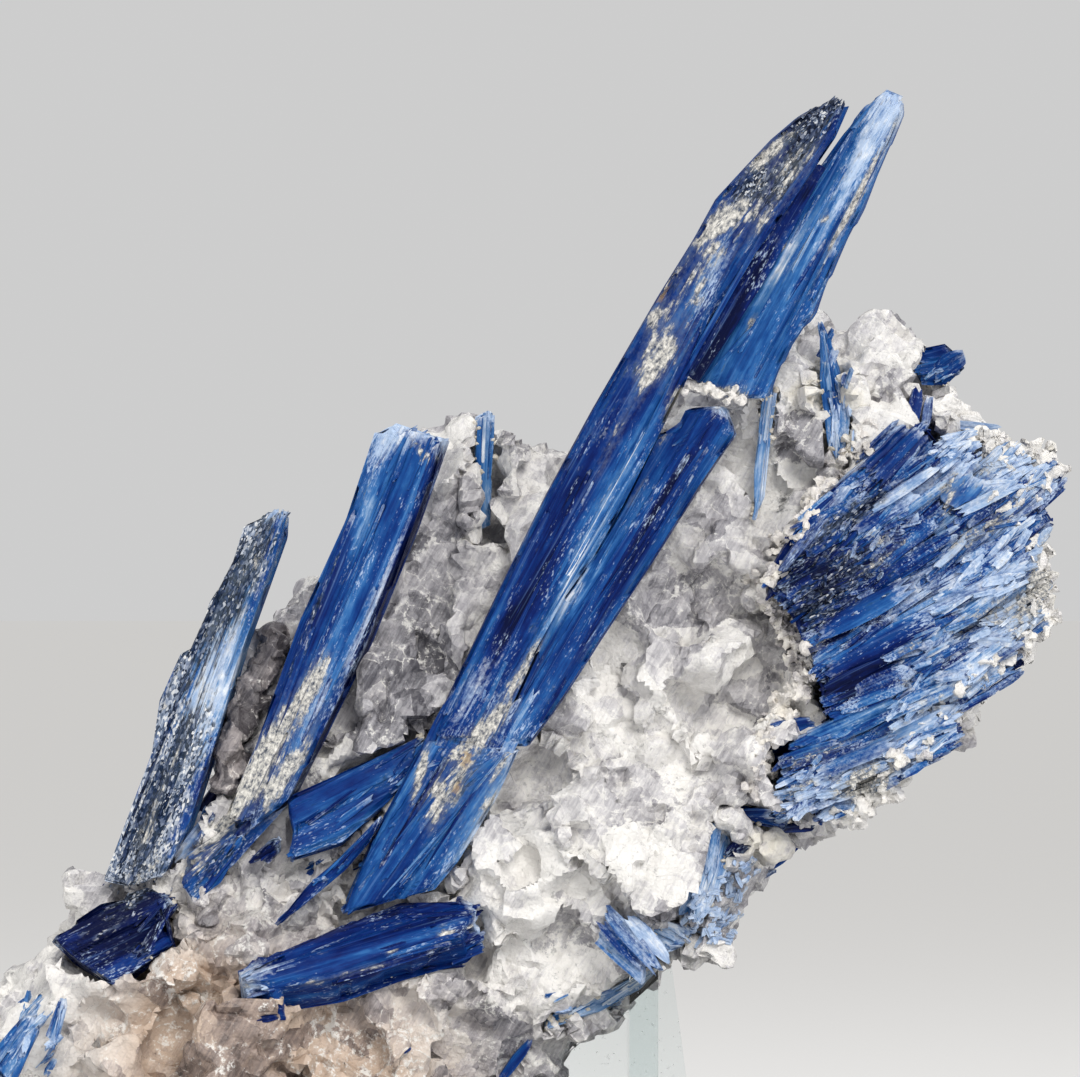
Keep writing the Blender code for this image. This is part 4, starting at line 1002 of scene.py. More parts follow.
def remeshed(name, mesh, voxel):
    """A piece whose mesh has small even faces, from any closed mesh."""
    piece = piece_of(name, mesh)
    fine = piece.modifiers.new("fine faces", "REMESH")
    fine.mode = "VOXEL"
    fine.voxel_size = voxel
    apply_modifiers(piece)
    return piece


def stained(mesh, points, even=None):
    """Stores the quartz's stains, or one even stain, and shades all but its sharp creases smoothly."""
    columns = [stains(points, places) for places in (MILKY_AND_SHADE, BROWN, CREAM, CREVICE_SHADE)]
    columns[0] = columns[0] + EVEN_MILK
    stain = np.column_stack(columns) if even is None else np.tile(even, (len(points), 1))
    store(mesh, "stain", "FLOAT_COLOR", stain)
    mesh.materials.append(quartz)
    mesh.update()
    mesh.polygons.foreach_set("use_smooth", [True] * len(mesh.polygons))
    mesh.set_sharp_from_angle(angle=CREASE_ANGLE)


def broken_quartz(node):
    """The slab, remeshed finely and chipped."""
    piece = remeshed("broken_quartz_slab", merged_copy(node), QUARTZ_VOXEL)
    mesh = piece.data
    rng = np.random.default_rng(5)
    low, high = (np.array(corner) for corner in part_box("quartz_matrix"))
    for spacing, tilt, most in CHIPS:
        points = chipped(points_of(mesh), vertex_normals(mesh), spacing, tilt, most, rng)
        points = np.clip(points, low, high)
        move_points(mesh, points)
    points -= vertex_normals(mesh) * stains(points, DENTS)[:, None] * MM
    move_points(mesh, points)
    stained(mesh, points)
    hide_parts("quartz_matrix")
    return piece


slab = broken_quartz(nodes["quartz_matrix"])
print("quartz triangles:", triangles(slab.data))

# %% [markdown]
# ## Piles of small laths
#
# Hundreds of small blades cross each other in the fan and along the rim. Each one is a closed strip of a
# few dozen faces with ragged ends. They could be separate objects, but one mesh for a whole pile keeps the
# model light. The same unit slab is added again and again to one bmesh, and then all its points are placed
# at once.

# %% Laths
LATH_COLUMNS, LATH_ROWS = 4, 4
EYE_AWAY = 0.3  # metres, from where a straight look starts


def lath_pile(name, laths, seed, material):
    """One mesh of many laths. A lath is its foot, tip, facing direction, width, thickness, tone and frost."""
    rng = np.random.default_rng(seed)
    unit = unit_slab(LATH_COLUMNS, LATH_ROWS, 1)
    slab_points = points_of(unit)
    column, row, depth = (slab_points * (LATH_COLUMNS, LATH_ROWS, 1)).round().astype(int).T
    bm = bmesh.new()
    placed, fibre, tones, frosts = [], [], [], []
    for foot, tip, facing, width, thickness, tone, frost in laths:
        bm.from_mesh(unit)
        length = (tip - foot).length
        along = (tip - foot) / length
        out = (facing - along * facing.dot(along)).normalized()
        across = along.cross(out)
        # Each column of faces ends at its own place, and the edges wander in and out.
        ends = rng.uniform(0, 0.16, (2, LATH_COLUMNS + 1)) * min(1.0, 6 * width / length)
        share = slab_points[:, 1]
        reach = ends[0, column] * (1 - share) + (1 - ends[1, column]) * share
        taper = 1 - rng.uniform(0, 0.45) * abs(2 * share - 1) ** 2
        step = rng.uniform(-0.22, 0.05, LATH_COLUMNS + 1)[column] * (1 - depth)
        sideways = (slab_points[:, 0] - 0.5) * width * taper + rng.normal(0, 0.03, LATH_ROWS + 1)[row] * width
        inward = (depth - step) * thickness * np.where((column == 0) | (column == LATH_COLUMNS), 0.9, 1.0)
        local = np.column_stack([sideways, reach * length, -inward])
        placed.append(np.array(foot) + local @ np.array([across, along, out]))
        start = rng.uniform(-0.5, 0.5, 3)
        fibre.append(local + start)
        tones.append(tone + rng.normal(0, 0.05, LATH_COLUMNS + 1)[column])
        foot_frost = 0.3 * (share < 0.1) * rng.uniform(0, 1)
        frosts.append(frost + foot_frost + 0.5 * (share > 0.9) * rng.uniform(0, 1))
    points = kept_inside(np.concatenate(placed))
    mesh = mesh_from(bm, name)
    move_points(mesh, points)
    carry_attributes(mesh, np.concatenate(fibre), points, np.concatenate(tones), np.concatenate(frosts), 1.0)
    mesh.materials.append(material)
    mesh.update()
    return piece_of(name, mesh)


def tree_of(*objects):
    """A search tree over the faces of these objects."""
    corners, faces, start = [], [], 0
    for item in objects:
        corners.append(points_of(item.data))
        faces += [[start + index for index in face.vertices] for face in item.data.polygons]
        start += len(item.data.vertices)
    return BVHTree.FromPolygons([Vector(c) for c in np.concatenate(corners)], faces)


def seen_at(tree, x, z, side=SHOW):
    """Where a straight line of sight along Y first meets the surface, in metres, or None."""
    return tree.ray_cast(Vector((x, side * EYE_AWAY, z)), Vector((0, -side, 0)))[0]


print("faces in one lath:", 2 * LATH_COLUMNS * LATH_ROWS + 2 * (LATH_COLUMNS + LATH_ROWS))

# %% [markdown]
# ## The fan
#
# On the right, a sheaf of blades has been crushed sideways, so its laths spread like a fan: steep at the
# top, flatter at the bottom, dark at the heart and splintered to pale stubs along the rim. The solid gives
# the mass of the fan. Laths are strewn over its front and its back, each laid on the mass where a straight
# look meets it.

# %% Fan of crushed blades
FAN_LEANS = [(60, 16), (72, 24), (86, 29), (100, 36), (113, 42), (124, 48)]  # z (mm), lean of laths (degrees)
FAN_HEART = Vector((46, 0, 97)) * MM
FAN_REACH = 30 * MM  # from its heart to its rim
FRONT_LATHS, BACK_LATHS = 900, 200


def fan_lean(z):
    """The angle from the horizon at which laths lie at this height."""
    return math.radians(np.interp(z / MM, *zip(*FAN_LEANS)))


def strewn(tree, box, count, side, seed):
    """Laths at chance places on one side of the fan."""
    draw = random.Random(seed)
    low, high = box
    laths = []
    while len(laths) < count:
        big = len(laths) < count // 12
        x, z = draw.uniform(low.x, high.x), draw.uniform(low.z, high.z)
        length = (draw.uniform(10, 22) if big else draw.uniform(3.5, 13)) * MM
        width = (draw.uniform(1.6, 3.4) if big else draw.uniform(0.4, 1.7)) * MM
        lean = fan_lean(z) + math.radians(draw.gauss(0, 3 if big else 6))
        way = Vector((math.cos(lean), 0, math.sin(lean)))
        rise, roll, lift = draw.uniform(-0.35, 0.45), draw.gauss(0, 0.20), draw.gauss(0, 0.05)
        shade, crush = draw.gauss(0, 0.13), draw.uniform(0, 1)
        middle = seen_at(tree, x, z, side)
        ends = [
            seen_at(tree, x + sign * way.x * length * 0.5, z + sign * way.z * length * 0.5, side)
            for sign in (-1, 1)
        ]
        if middle is None or None in ends:
            continue
        foot, tip = middle - way * length / 2, middle + way * length / 2
        foot.y, tip.y = ends[0].y, ends[1].y
        outward = side * (rise if not big else rise * 0.4) * MM
        foot.y += outward
        tip.y += outward + side * lift * length
        from_heart = (Vector((x, 0, z)) - FAN_HEART).length / FAN_REACH
        tone = 0.37 + 0.11 * min(1.25, from_heart) ** 2 + shade - (0.06 if big else 0)
        frost = 0.08 + 0.42 * crush ** 2 * from_heart
        facing, thickness = Vector((roll, side, -roll)), draw.uniform(0.6, 1.4) * MM
        laths.append((foot, tip, facing, width, thickness, tone, frost))
    return laths


fan_mass = nodes["blade_fan"]
fan_tree = tree_of(fan_mass)
fan_laths = []
for count, side, seed in ((FRONT_LATHS, SHOW, 31), (BACK_LATHS, REAR, 32)):
    fan_laths += strewn(fan_tree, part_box("blade_fan"), count, side, seed)
fan = lath_pile("crushed_blade_fan", fan_laths, 33, crushed)
print("laths in the fan:", len(fan_laths))

# %% [markdown]
# ## The heart of the fan
#
# Between the laths one looks into the mass of the fan, which is the same mineral. Little light reaches it, so
# its tone is painted dark: painted shade. The solid's own form is kept a little further in, so that no flat
# side of it shows.

# %% Heart of the fan
HEART_INSET = 0.5 * MM
HEART_VOXEL = 0.8 * MM
heart = remeshed("fan_heart", merged_copy(fan_mass), HEART_VOXEL)
heart_points = points_of(heart.data)
lean = np.array([fan_lean(z) for z in heart_points[:, 2]])
ridge_place = heart_points[:, 2] * np.cos(lean) - heart_points[:, 0] * np.sin(lean)
ridge_along = heart_points[:, 2] * np.sin(lean) + heart_points[:, 0] * np.cos(lean)
ridge, ridge_tone = lath_steps(ridge_place, ridge_along, 7)
heart_points = heart_points + vertex_normals(heart.data) * (ridge * 1.5 - HEART_INSET)[:, None]
move_points(heart.data, heart_points)
heart_fibre = np.column_stack([ridge_place, ridge_along, heart_points[:, 1]])
heart_frost = np.full(len(heart_points), 0.1)
# The low tone of 0.2 is painted shade for the little light that reaches between the laths.
carry_attributes(heart.data, heart_fibre, heart_points, 0.2 + ridge_tone, heart_frost, 1.0)
heart.data.materials.append(crushed)
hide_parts("blade_fan")
print("heart triangles:", triangles(heart.data))

# %% [markdown]
# ## Laths lifted from the blades
#
# A blade's face is never one sheet. Long thin laths have started to come away from it, and each catches the
# light at its own angle, which gives kyanite its silky stripes. Near a broken end they stand apart as
# splinters. They are strewn over each blade with the same cross sections that made it.

# %% Loose laths
LOOSE_FOR_LENGTH = 0.26  # laths for each millimetre of a blade's length
LOOSE_THICK = 0.45 * MM
SPLINTERS = 12


def blade_point(sections, share, row, lift):
    """A place on a blade's face: share across from 0 to 1, row along in metres, lift out of the face."""
    left, right = (np.interp(row, sections.rows, side) for side in (sections.left, sections.right))
    index = int(np.clip(np.searchsorted(sections.rows, row), 0, len(sections.rows) - 1))
    across = left + share * (right - left)
    face = np.interp(across, sections.face[index][:, 0], sections.face[index][:, 1])
    return Vector(np.array([across, row, face + lift]) @ sections.directions + sections.middle)


def loose_laths(sections, tone, seed):
    """Thin laths along a blade's face, and splinters at its tip."""
    draw = random.Random(seed)
    low, high = sections.rows[0], sections.rows[-1]
    out = Vector(sections.directions[2])
    across = Vector(sections.directions[0])
    laths = []
    count = round(sections.length / MM * LOOSE_FOR_LENGTH * sections.width / (9 * MM)) + SPLINTERS
    for number in range(count):
        splinter = number < SPLINTERS
        length = min((draw.uniform(4, 9) if splinter else draw.uniform(8, 34)) * MM, 0.8 * sections.length)
        start = high - length - draw.uniform(0.2, 2.2) * MM if splinter else draw.uniform(low, high - length)
        share = draw.uniform(0.07, 0.93)
        drift = draw.gauss(0, 0.02)
        lifts = sorted((draw.uniform(-0.30, -0.05), draw.uniform(-0.25, 0.08)))
        foot = blade_point(sections, share, start, lifts[0] * MM)
        tip = blade_point(sections, min(0.96, max(0.04, share + drift)), start + length, lifts[1] * MM)
        width = min(draw.uniform(0.35, 1.2) * MM, 0.2 * sections.width)
        facing = out + across * draw.gauss(0, 0.28)
        shade, frost = tone + draw.gauss(0.0, 0.08), 0.15 * draw.random() ** 3
        laths.append((foot, tip, facing, width, LOOSE_THICK, shade, frost))
    return laths


loose = []
for name, (seed, tone, *_shape) in BLADES.items():
    loose += loose_laths(crystals[name][1], tone, 100 + seed)
for name, seed in (("back_blade_long", 123), ("back_blade_short", 124)):
    loose += loose_laths(crystals[name][1], 0.34, seed)
lath_pile("loose_laths_on_blades", loose, 41, kyanite)
print("loose laths:", len(loose))

# %% [markdown]
# ## Laths of known place
#
# Some laths have a known place: a near-black lath in the slit between the two tallest blades, which paints
# the shadow in the slit, the cobalt blocks at the top of the fan, wedges that reach into the quartz, and the
# broken cluster on the lower rim.

# %% Single laths and clusters
everything = tree_of(slab, heart, fan, *[piece for piece, _sections in crystals.values()])
# x and z of foot and tip, width, thickness (mm), tone, frost, lift towards the front (mm)
SINGLE_LATHS = [
    (36.0, 94.6, 51.0, 114.6, 4.2, 2.0, 0.18, 0.1, 0.6),
    (38.0, 98.0, 48.0, 110.5, 1.6, 1.4, 0.34, 0.3, 1.2),
    (52.0, 110.0, 59.2, 117.0, 1.8, 1.8, 0.34, 0.2, 1.0),
    (51.0, 111.0, 58.0, 118.2, 1.7, 1.8, 0.40, 0.1, 1.1),
    (50.0, 112.0, 57.2, 119.0, 1.9, 1.8, 0.30, 0.1, 0.9),
    (49.2, 113.2, 55.4, 119.4, 1.6, 1.8, 0.44, 0.3, 1.0),
    (56.4, 116.6, 57.9, 124.6, 2.0, 1.6, 0.24, 0.2, 0.4),
    (58.7, 118.6, 59.6, 123.4, 1.3, 1.4, 0.34, 0.4, 0.4),
    (-45.2, 54.8, -32.0, 69.4, 3.2, 1.6, 0.44, 0.3, 0.6),
    (-42.0, 55.0, -30.6, 67.0, 2.8, 1.4, 0.38, 0.2, 0.4),
    (-46.2, 57.6, -37.0, 68.6, 1.8, 1.4, 0.54, 0.6, 0.5),
    (-43.8, 62.4, -39.4, 69.0, 1.8, 1.4, 0.06, 0.0, 0.2),
    (61.0, 107.6, 65.6, 112.4, 4.4, 2.0, 0.44, 0.0, 1.2),
    (50.5, 106.5, 60.5, 113.2, 1.4, 1.2, 0.62, 0.5, 1.5),
    (48.0, 103.8, 58.0, 110.0, 3.0, 1.6, 0.46, 0.2, 1.2),
    (62.5, 106.2, 72.0, 111.0, 1.6, 1.2, 0.74, 0.5, 1.2),
    (43.0, 89.0, 57.0, 97.0, 3.2, 1.6, 0.38, 0.1, 1.2), (44.0, 84.0, 60.0, 92.6, 3.4, 1.6, 0.34, 0.1, 1.0),
    (44.5, 81.0, 53.5, 85.5, 3.8, 1.6, 0.14, 0.0, 1.0), (57.0, 92.0, 73.0, 99.6, 1.6, 1.2, 0.56, 0.4, 1.3),
    (36.0, 76.3, 43.5, 77.4, 2.0, 1.4, 0.26, 0.0, 0.5), (35.8, 72.0, 43.0, 75.0, 2.4, 1.4, 0.24, 0.1, 0.5),
    (30.2, 64.4, 38.0, 64.6, 1.7, 1.2, 0.30, 0.1, 0.5), (38.5, 62.4, 44.0, 62.6, 1.3, 1.2, 0.14, 0.0, 0.3),
    (48.0, 71.6, 61.0, 78.4, 2.6, 1.4, 0.60, 0.2, 1.0), (42.0, 69.5, 55.0, 75.0, 2.0, 1.2, 0.52, 0.3, 0.9),
    (60.0, 125.6, 64.6, 128.8, 3.0, 2.0, 0.46, 0.2, 0.6),
    (60.5, 119.2, 69.5, 118.2, 1.2, 1.0, 0.60, 0.6, 0.2),
    (-44.0, 57.4, -36.6, 62.4, 2.6, 1.2, 0.50, 0.1, 0.3), (6.0, 35.6, 16.5, 40.4, 1.8, 1.2, 0.66, 0.3, 0.5),
    (-0.8, 27.0, 4.0, 33.0, 1.4, 1.0, 0.40, 0.1, 0.4), (-34.5, 36.2, -31.2, 36.8, 1.0, 0.8, 0.10, 0.0, 0.4),
    (-14.2, 31.6, -12.8, 32.4, 0.9, 0.6, 0.30, 0.0, 0.3),
    (-11.0, 43.6, -5.2, 43.9, 1.5, 0.8, 0.0, 0.0, 0.1), (36.0, 55.8, 41.4, 60.0, 1.5, 1.2, 0.42, 0.1, 0.3),
    (31.0, 58.2, 33.4, 60.6, 2.2, 1.0, 0.06, 0.0, 0.2), (28.6, 56.0, 29.6, 63.2, 1.8, 1.2, 0.64, 0.2, 0.6),
    (24.8, 50.0, 28.6, 57.0, 2.8, 1.4, 0.66, 0.1, 0.4), (13.6, 51.8, 21.6, 43.4, 2.4, 1.2, 0.48, 0.2, 0.4),
    (16.6, 51.4, 23.0, 44.2, 2.3, 1.2, 0.54, 0.3, 0.4), (12.6, 50.4, 20.4, 43.0, 2.3, 1.2, 0.40, 0.2, 0.4),
    (12.2, 48.6, 19.4, 42.2, 2.2, 1.2, 0.52, 0.3, 0.4),
]
SEAM = [(-10.0, 75.3), (-8.3, 75.2), (-6.5, 75.2), (-4.7, 75.1), (-2.9, 75.0), (-1.1, 74.6), (0.8, 74.2)]
for number, (x, z) in enumerate(SEAM):
    below, above = 2.6 + 1.4 * chance(number), 5.0 + 4.0 * chance(number, 1)
    SINGLE_LATHS.append((
        x - 0.47 * below, z - 0.88 * below, x + 0.47 * above, z + 0.88 * above,
        1.5 + 0.6 * chance(number, 2), 0.8, 0.34 + 0.12 * chance(number, 3), 0.35 * chance(number, 4), 0.14,
    ))
# The stand's rib reaches up behind the lowest laths, which pass just in front of its edge.
RIB_LEFT, RIB_RIGHT, RIB_TOP, RIB_FRONT = 17.4 * MM, 21.4 * MM, 52 * MM, -22.7 * MM
# middle x and z, reach in x and z (mm), lean (degrees) and its scatter, count, longest (mm), tone, frost
CLUSTERS = [
    (29.0, 50.5, 4.0, 4.0, 50, 40, 60, 2.6, 0.74, 0.8), (31.5, 55.5, 2.4, 2.6, 50, 40, 34, 2.4, 0.60, 0.7),
    (21.0, 47.6, 5.0, 1.6, -25, 22, 26, 3.4, 0.62, 0.5), (31.0, 49.0, 2.4, 3.0, 40, 40, 26, 2.4, 0.80, 0.9),
    (12.0, 38.4, 6.0, 1.0, 24, 8, 12, 4.0, 0.62, 0.45), (36.8, 57.4, 3.0, 1.8, 38, 14, 12, 3.4, 0.44, 0.4),
    (-65.5, 33.5, 3.0, 5.0, 55, 10, 14, 6.0, 0.62, 0.4),
    (61.5, 127.5, 2.8, 2.0, 30, 14, 16, 3.4, 0.55, 0.45),
    (67.0, 115.4, 6.0, 2.4, 26, 12, 50, 6.0, 0.72, 0.8),
    (72.0, 112.0, 4.0, 3.4, 32, 14, 40, 6.0, 0.72, 0.8), (68.0, 99.0, 6.5, 8.0, 33, 11, 60, 8.0, 0.58, 0.6),
    (62.0, 85.0, 7.0, 5.0, 30, 10, 44, 8.0, 0.56, 0.5), (72.0, 93.5, 2.6, 5.0, 50, 20, 50, 3.0, 0.86, 1.1),
    (58.0, 77.0, 4.0, 3.0, 30, 12, 34, 6.0, 0.60, 0.6), (45.0, 67.5, 6.5, 3.6, 25, 12, 60, 5.0, 0.56, 0.6),
    (50.5, 67.6, 2.6, 3.0, 40, 40, 30, 2.4, 0.80, 1.0), (45.5, 129.0, 1.4, 5.0, 84, 10, 10, 5.0, 0.46, 0.4),
    (47.0, 121.0, 1.6, 5.0, 84, 10, 14, 5.0, 0.66, 0.6),
    (-41.0, 62.0, 3.0, 2.5, 50, 18, 10, 4.0, 0.40, 0.4),
    (-24.0, 57.0, 5.0, 1.4, 26, 14, 10, 3.0, 0.36, 0.3),
    (52.0, 103.5, 5.0, 3.0, 36, 18, 40, 3.4, 0.40, 0.5), (48.0, 95.0, 5.0, 5.0, 36, 20, 60, 3.0, 0.24, 0.3),
    (41.5, 69.5, 3.6, 3.0, 34, 14, 30, 3.4, 0.48, 0.5),
]


def on_surface(x, z, lift, spare=None):
    """A place on whatever a straight look from the front meets there, or at the spare depth."""
    found = seen_at(everything, x * MM, z * MM)
    depth = found.y if found is not None else spare
    return None if depth is None else Vector((x * MM, depth - lift * MM, z * MM))


def past_the_rib(foot, tip):
    """Leans a lath that starts on the quartz, or on the lath beside it, forwards past the stand's rib."""
    share = (RIB_LEFT - foot.x) / (tip.x - foot.x)  # how far along the lath the rib begins
    if share > 0.3:
        tip.y = foot.y + (RIB_FRONT - foot.y) / share
    else:
        foot.y, tip.y = RIB_FRONT, RIB_FRONT - 1.6 * MM


def single_laths():
    """The laths of known place."""
    laths = []
    for x_1, z_1, x_2, z_2, width, thickness, tone, frost, lift in SINGLE_LATHS:
        middle = on_surface((x_1 + x_2) / 2, (z_1 + z_2) / 2, lift, SHOW_PLANE)
        foot, tip = on_surface(x_1, z_1, lift - 0.3, middle.y), on_surface(x_2, z_2, lift, middle.y)
        if foot.x < RIB_RIGHT and tip.x > RIB_LEFT and foot.z < RIB_TOP:
            past_the_rib(foot, tip)
        else:
            # A lath is straight, so its ends lie no further from its middle than 2 mm in depth.
            for end in (foot, tip):
                end.y = min(max(end.y, middle.y - 2 * MM), middle.y + 2 * MM)
        laths.append((foot, tip, Vector((0.1, -1, -0.1)), width * MM, thickness * MM, tone, frost))
    return laths


def clustered_laths(seed):
    """The broken clusters."""
    draw = random.Random(seed)
    laths = []
    for x, z, reach_x, reach_z, lean, scatter, count, longest, tone, frost in CLUSTERS:
        for _number in range(count):
            place = (x + reach_x * draw.uniform(-1, 1), z + reach_z * draw.uniform(-1, 1))
            middle = on_surface(*place, draw.uniform(-0.1, 0.5))
            turn = math.radians(draw.gauss(lean, scatter))
            way = Vector((math.cos(turn), draw.gauss(0, 0.14), math.sin(turn)))
            length = draw.uniform(0.35, 1.0) * longest * MM
            width = draw.uniform(0.3, 0.45 * longest ** 0.6) * MM
            facing = Vector((draw.gauss(0, 0.3), -1, draw.gauss(0, 0.3)))
            shade, crush = draw.gauss(tone, 0.11), frost * draw.uniform(0.2, 1.3)
            ends = [middle and middle + way * sign * length / 2 for sign in (-1, 1)]
            if middle is not None and all(seen_at(everything, end.x, end.z) for end in ends):
                laths.append((*ends, facing, width, 0.8 * MM, shade, crush))
    return laths


def slit_shadow_lath():
    """A near-black thin lath in the slit between the two tallest blades: painted shadow in the slit."""
    ends = []
    for x, z in ((24.5, 124.0), (44.6, 158.2)):
        beside = seen_at(everything, (x - 3.0) * MM, z * MM)
        ends.append(Vector((x * MM, beside.y + 2.2 * MM, z * MM)))
    # Its tone of 0.02, nearly black, paints the shadow in the slit.
    return [(ends[0], ends[1], Vector((0, -1, 0)), 5.0 * MM, 1.2 * MM, 0.02, 0.0)]


by_hand = single_laths() + slit_shadow_lath()
clustered = clustered_laths(51)
lath_pile("laths_of_known_place", by_hand, 52, kyanite)
lath_pile("broken_clusters", clustered, 53, crushed)
print("laths by hand:", len(by_hand), "in clusters:", len(clustered))

# %% [markdown]
# ## Crusts and pebbles
#
# The rim of the fan is capped by a lumpy white crust of crushed fibres, clay and quartz, and a thinner one
# follows the line where fan and slab meet. Rounded quartz pebbles sit among the feet of the blades. All of
# them are piles of small balls of chance sizes that a remesh melts into one skin, which is then chipped as
# the slab was.

# %% Crusts
# x, z (mm) along each crust
RIM_LINE = [
    (66.0, 116.6), (70.5, 114.6), (74.4, 114.6), (75.8, 112.6), (73.0, 109.0), (69.0, 106.6), (71.6, 103.6),
    (73.6, 101.0), (75.2, 98.0), (74.8, 94.0), (72.8, 90.6), (69.0, 87.0), (65.0, 83.0), (62.6, 79.4),
    (58.0, 76.0), (54.0, 72.0), (52.2, 68.0), (50.0, 66.0), (46.5, 64.6),
]
INNER_LINE = [
    (50.4, 118.6), (46.5, 112.6), (42.4, 107.6), (39.0, 102.6), (36.0, 97.6), (37.0, 94.0), (39.0, 91.0),
    (40.2, 88.0), (42.0, 84.6), (40.8, 81.0), (38.0, 78.8), (35.8, 74.6), (36.4, 70.5), (34.0, 67.5),
]


def along_line(line, spacing):
    """Places this far apart along a bent line, in millimetres."""
    corners = np.array(line)
    run = np.concatenate([[0], np.cumsum(np.linalg.norm(np.diff(corners, axis=0), axis=1))])
    at = np.arange(0, run[-1], spacing)
    return np.column_stack([np.interp(at, run, corners[:, 0]), np.interp(at, run, corners[:, 1])])


def any_turn(draw):
    """A turn by any angle about any axis."""
    return Matrix.Rotation(draw.uniform(0, 6.3), 4, Vector([draw.gauss(0, 1) for _axis in range(3)]))


def lumps(name, balls, voxel, chips, stain):
    """Balls (middle, radius in metres) melted into one chipped piece. stain: milky, brown, cream, painted shade
    of crevices.
    """
    draw = random.Random(name)
    bm = bmesh.new()
    for middle, radius in balls:
        turn = any_turn(draw)
        shape = Matrix.Diagonal((*[draw.uniform(0.7, 1.25) for _axis in range(3)], 1))
        bmesh.ops.create_icosphere(
            bm, subdivisions=2, radius=radius, matrix=Matrix.Translation(middle) @ turn @ shape,
        )
    piece = remeshed(name, mesh_from(bm, name), voxel * MM)
    mesh = piece.data
    rng = np.random.default_rng(len(balls))
    for spacing, tilt, most in chips:
        points = chipped(points_of(mesh), vertex_normals(mesh), spacing, tilt, most, rng, voxel)
        points = kept_inside(points)
        move_points(mesh, points)
    stained(mesh, points, stain)
    return piece


def crust_balls(line, spacing, spread, radii, deep, seed):
    """Balls strewn along a line. deep is how many lie behind each other."""
    draw = random.Random(seed)
    balls = []
    for x, z in along_line(line, spacing):
        for layer in range(deep):
            place = (x + draw.gauss(0, spread), z + draw.gauss(0, spread))
            radius = draw.uniform(*radii)
            front, rear = (seen_at(everything, place[0] * MM, place[1] * MM, side) for side in (SHOW, REAR))
            nearest = everything.find_nearest(Vector((x * MM, SHOW_PLANE, z * MM)))[0]
            # Where a gap lets the line of sight through, the crust fills the gap.
            if front is None or front.y > nearest.y + 1.5 * MM:
                front = nearest
                rear = front + Vector((0, 6 * MM, 0))
            depth = front.y + 0.70 * radius * MM + (rear.y - front.y) * layer / deep
            balls.append((Vector((place[0] * MM, depth, place[1] * MM)), radius * MM))
    return balls


rim_crust = lumps("rim_crust", crust_balls(RIM_LINE, 0.5, 0.8, (0.7, 1.4), 3, 61), 0.34,
                  [(2.4, 0.5, 0.9), (1.1, 0.5, 0.35)], (1.10, 0.02, 0.30, 0.06))
inner_crust = lumps("inner_crust", crust_balls(INNER_LINE, 0.40, 0.65, (0.45, 1.0), 2, 62), 0.30,
                    [(2.0, 0.5, 0.8), (1.0, 0.5, 0.3)], (0.90, 0.12, 0.34, 0.10))
STRIP_LINE = [(-39.0, 69.0), (-37.0, 76.0), (-34.6, 82.0), (-31.6, 89.5)]
strip_draw = random.Random(63)
strip_balls = [
    (Vector((x + strip_draw.gauss(0, 0.3), depth, z)) * MM, strip_draw.uniform(1.7, 2.3) * MM)
    for x, z in along_line(STRIP_LINE, 1.1) for depth in (-13.8, -11.0)
]
STRIP_CHIPS, STRIP_STAIN = [(5.0, 0.3, 0.6), (2.2, 0.25, 0.2)], (0.16, 0.30, 0.0, 0.16)
lumps("quartz_strip", strip_balls, 0.4, STRIP_CHIPS, STRIP_STAIN)
FOOT_LINE = [(24.6, 124.0), (28.4, 123.2), (33.4, 122.5)]
FOOT_DEPTH = -27.5 * MM
foot_draw = random.Random(64)
foot_balls = []
for x, z in along_line(FOOT_LINE, 0.22):
    x, z = x + foot_draw.gauss(0, 0.3), z + foot_draw.gauss(0, 0.4)
    found = on_surface(x, z, -0.1, 0.0)
    foot_balls.append((Vector((x * MM, min(found.y, FOOT_DEPTH), z * MM)), foot_draw.uniform(0.25, 0.6) * MM))
lumps("foot_crust", foot_balls, 0.22, [(1.2, 0.5, 0.3)], (1.0, 0.05, 0.25, 0.05))
print("crust faces:", len(rim_crust.data.polygons), len(inner_crust.data.polygons))

# %% Pebbles
PEBBLES = [  # x, z, radius across and up (mm), milky, brown, cream, painted shade of crevices
    (-41.0, 53.4, 4.8, 4.6, 0.30, 0.10, 0.0, 0.0), (-28.6, 50.4, 4.2, 2.6, 0.85, 0.0, 0.0, 0.0),
    (23.2, 120.4, 1.6, 2.2, 0.9, 0.0, 0.1, 0.05), (32.0, 119.4, 1.6, 2.2, 0.9, 0.0, 0.15, 0.05),
    (37.0, 60.0, 3.4, 2.6, 0.95, 0.05, 0.5, 0.0), (-35.6, 45.6, 3.6, 2.4, 0.65, 0.2, 0.0, 0.0),
]
for number, (x, z, wide, high, *stain) in enumerate(PEBBLES):
    middle = on_surface(x, z, -0.35 * min(wide, high), SHOW_PLANE)
    draw = random.Random(70 + number)
    balls = [(middle, min(wide, high) * MM)]
    for step in range(9):
        turn = step * 2 * math.pi / 9
        back = draw.uniform(-0.1, 0.5) * high
        aside = Vector((0.55 * wide * math.cos(turn), back, 0.45 * high * math.sin(turn)))
        balls.append((middle + aside * MM, draw.uniform(0.45, 0.6) * min(wide, high) * MM))
    lumps(f"pebble_{number}", balls, 0.45, [(4.5, 0.3, 0.7), (2.2, 0.3, 0.25)], stain)
print("pebbles:", len(PEBBLES))

# %% [markdown]
# ## Crumbs and mica
#
# Clay crumbs collect where a blade leaves the quartz, and small plates of mica lie on the weathered blades.
# They are tiny, so a crumb has only twenty faces and a plate has those of a lath, and hundreds of them
# share one mesh.

# %% Crumbs
CRUMBS = 1100
CRUMB_COLOURS = [(0.3, "#8b857c"), (0.45, "#c9c2b4"), (0.6, "#e6e0d4"), (0.75, "#f6f3ec")]


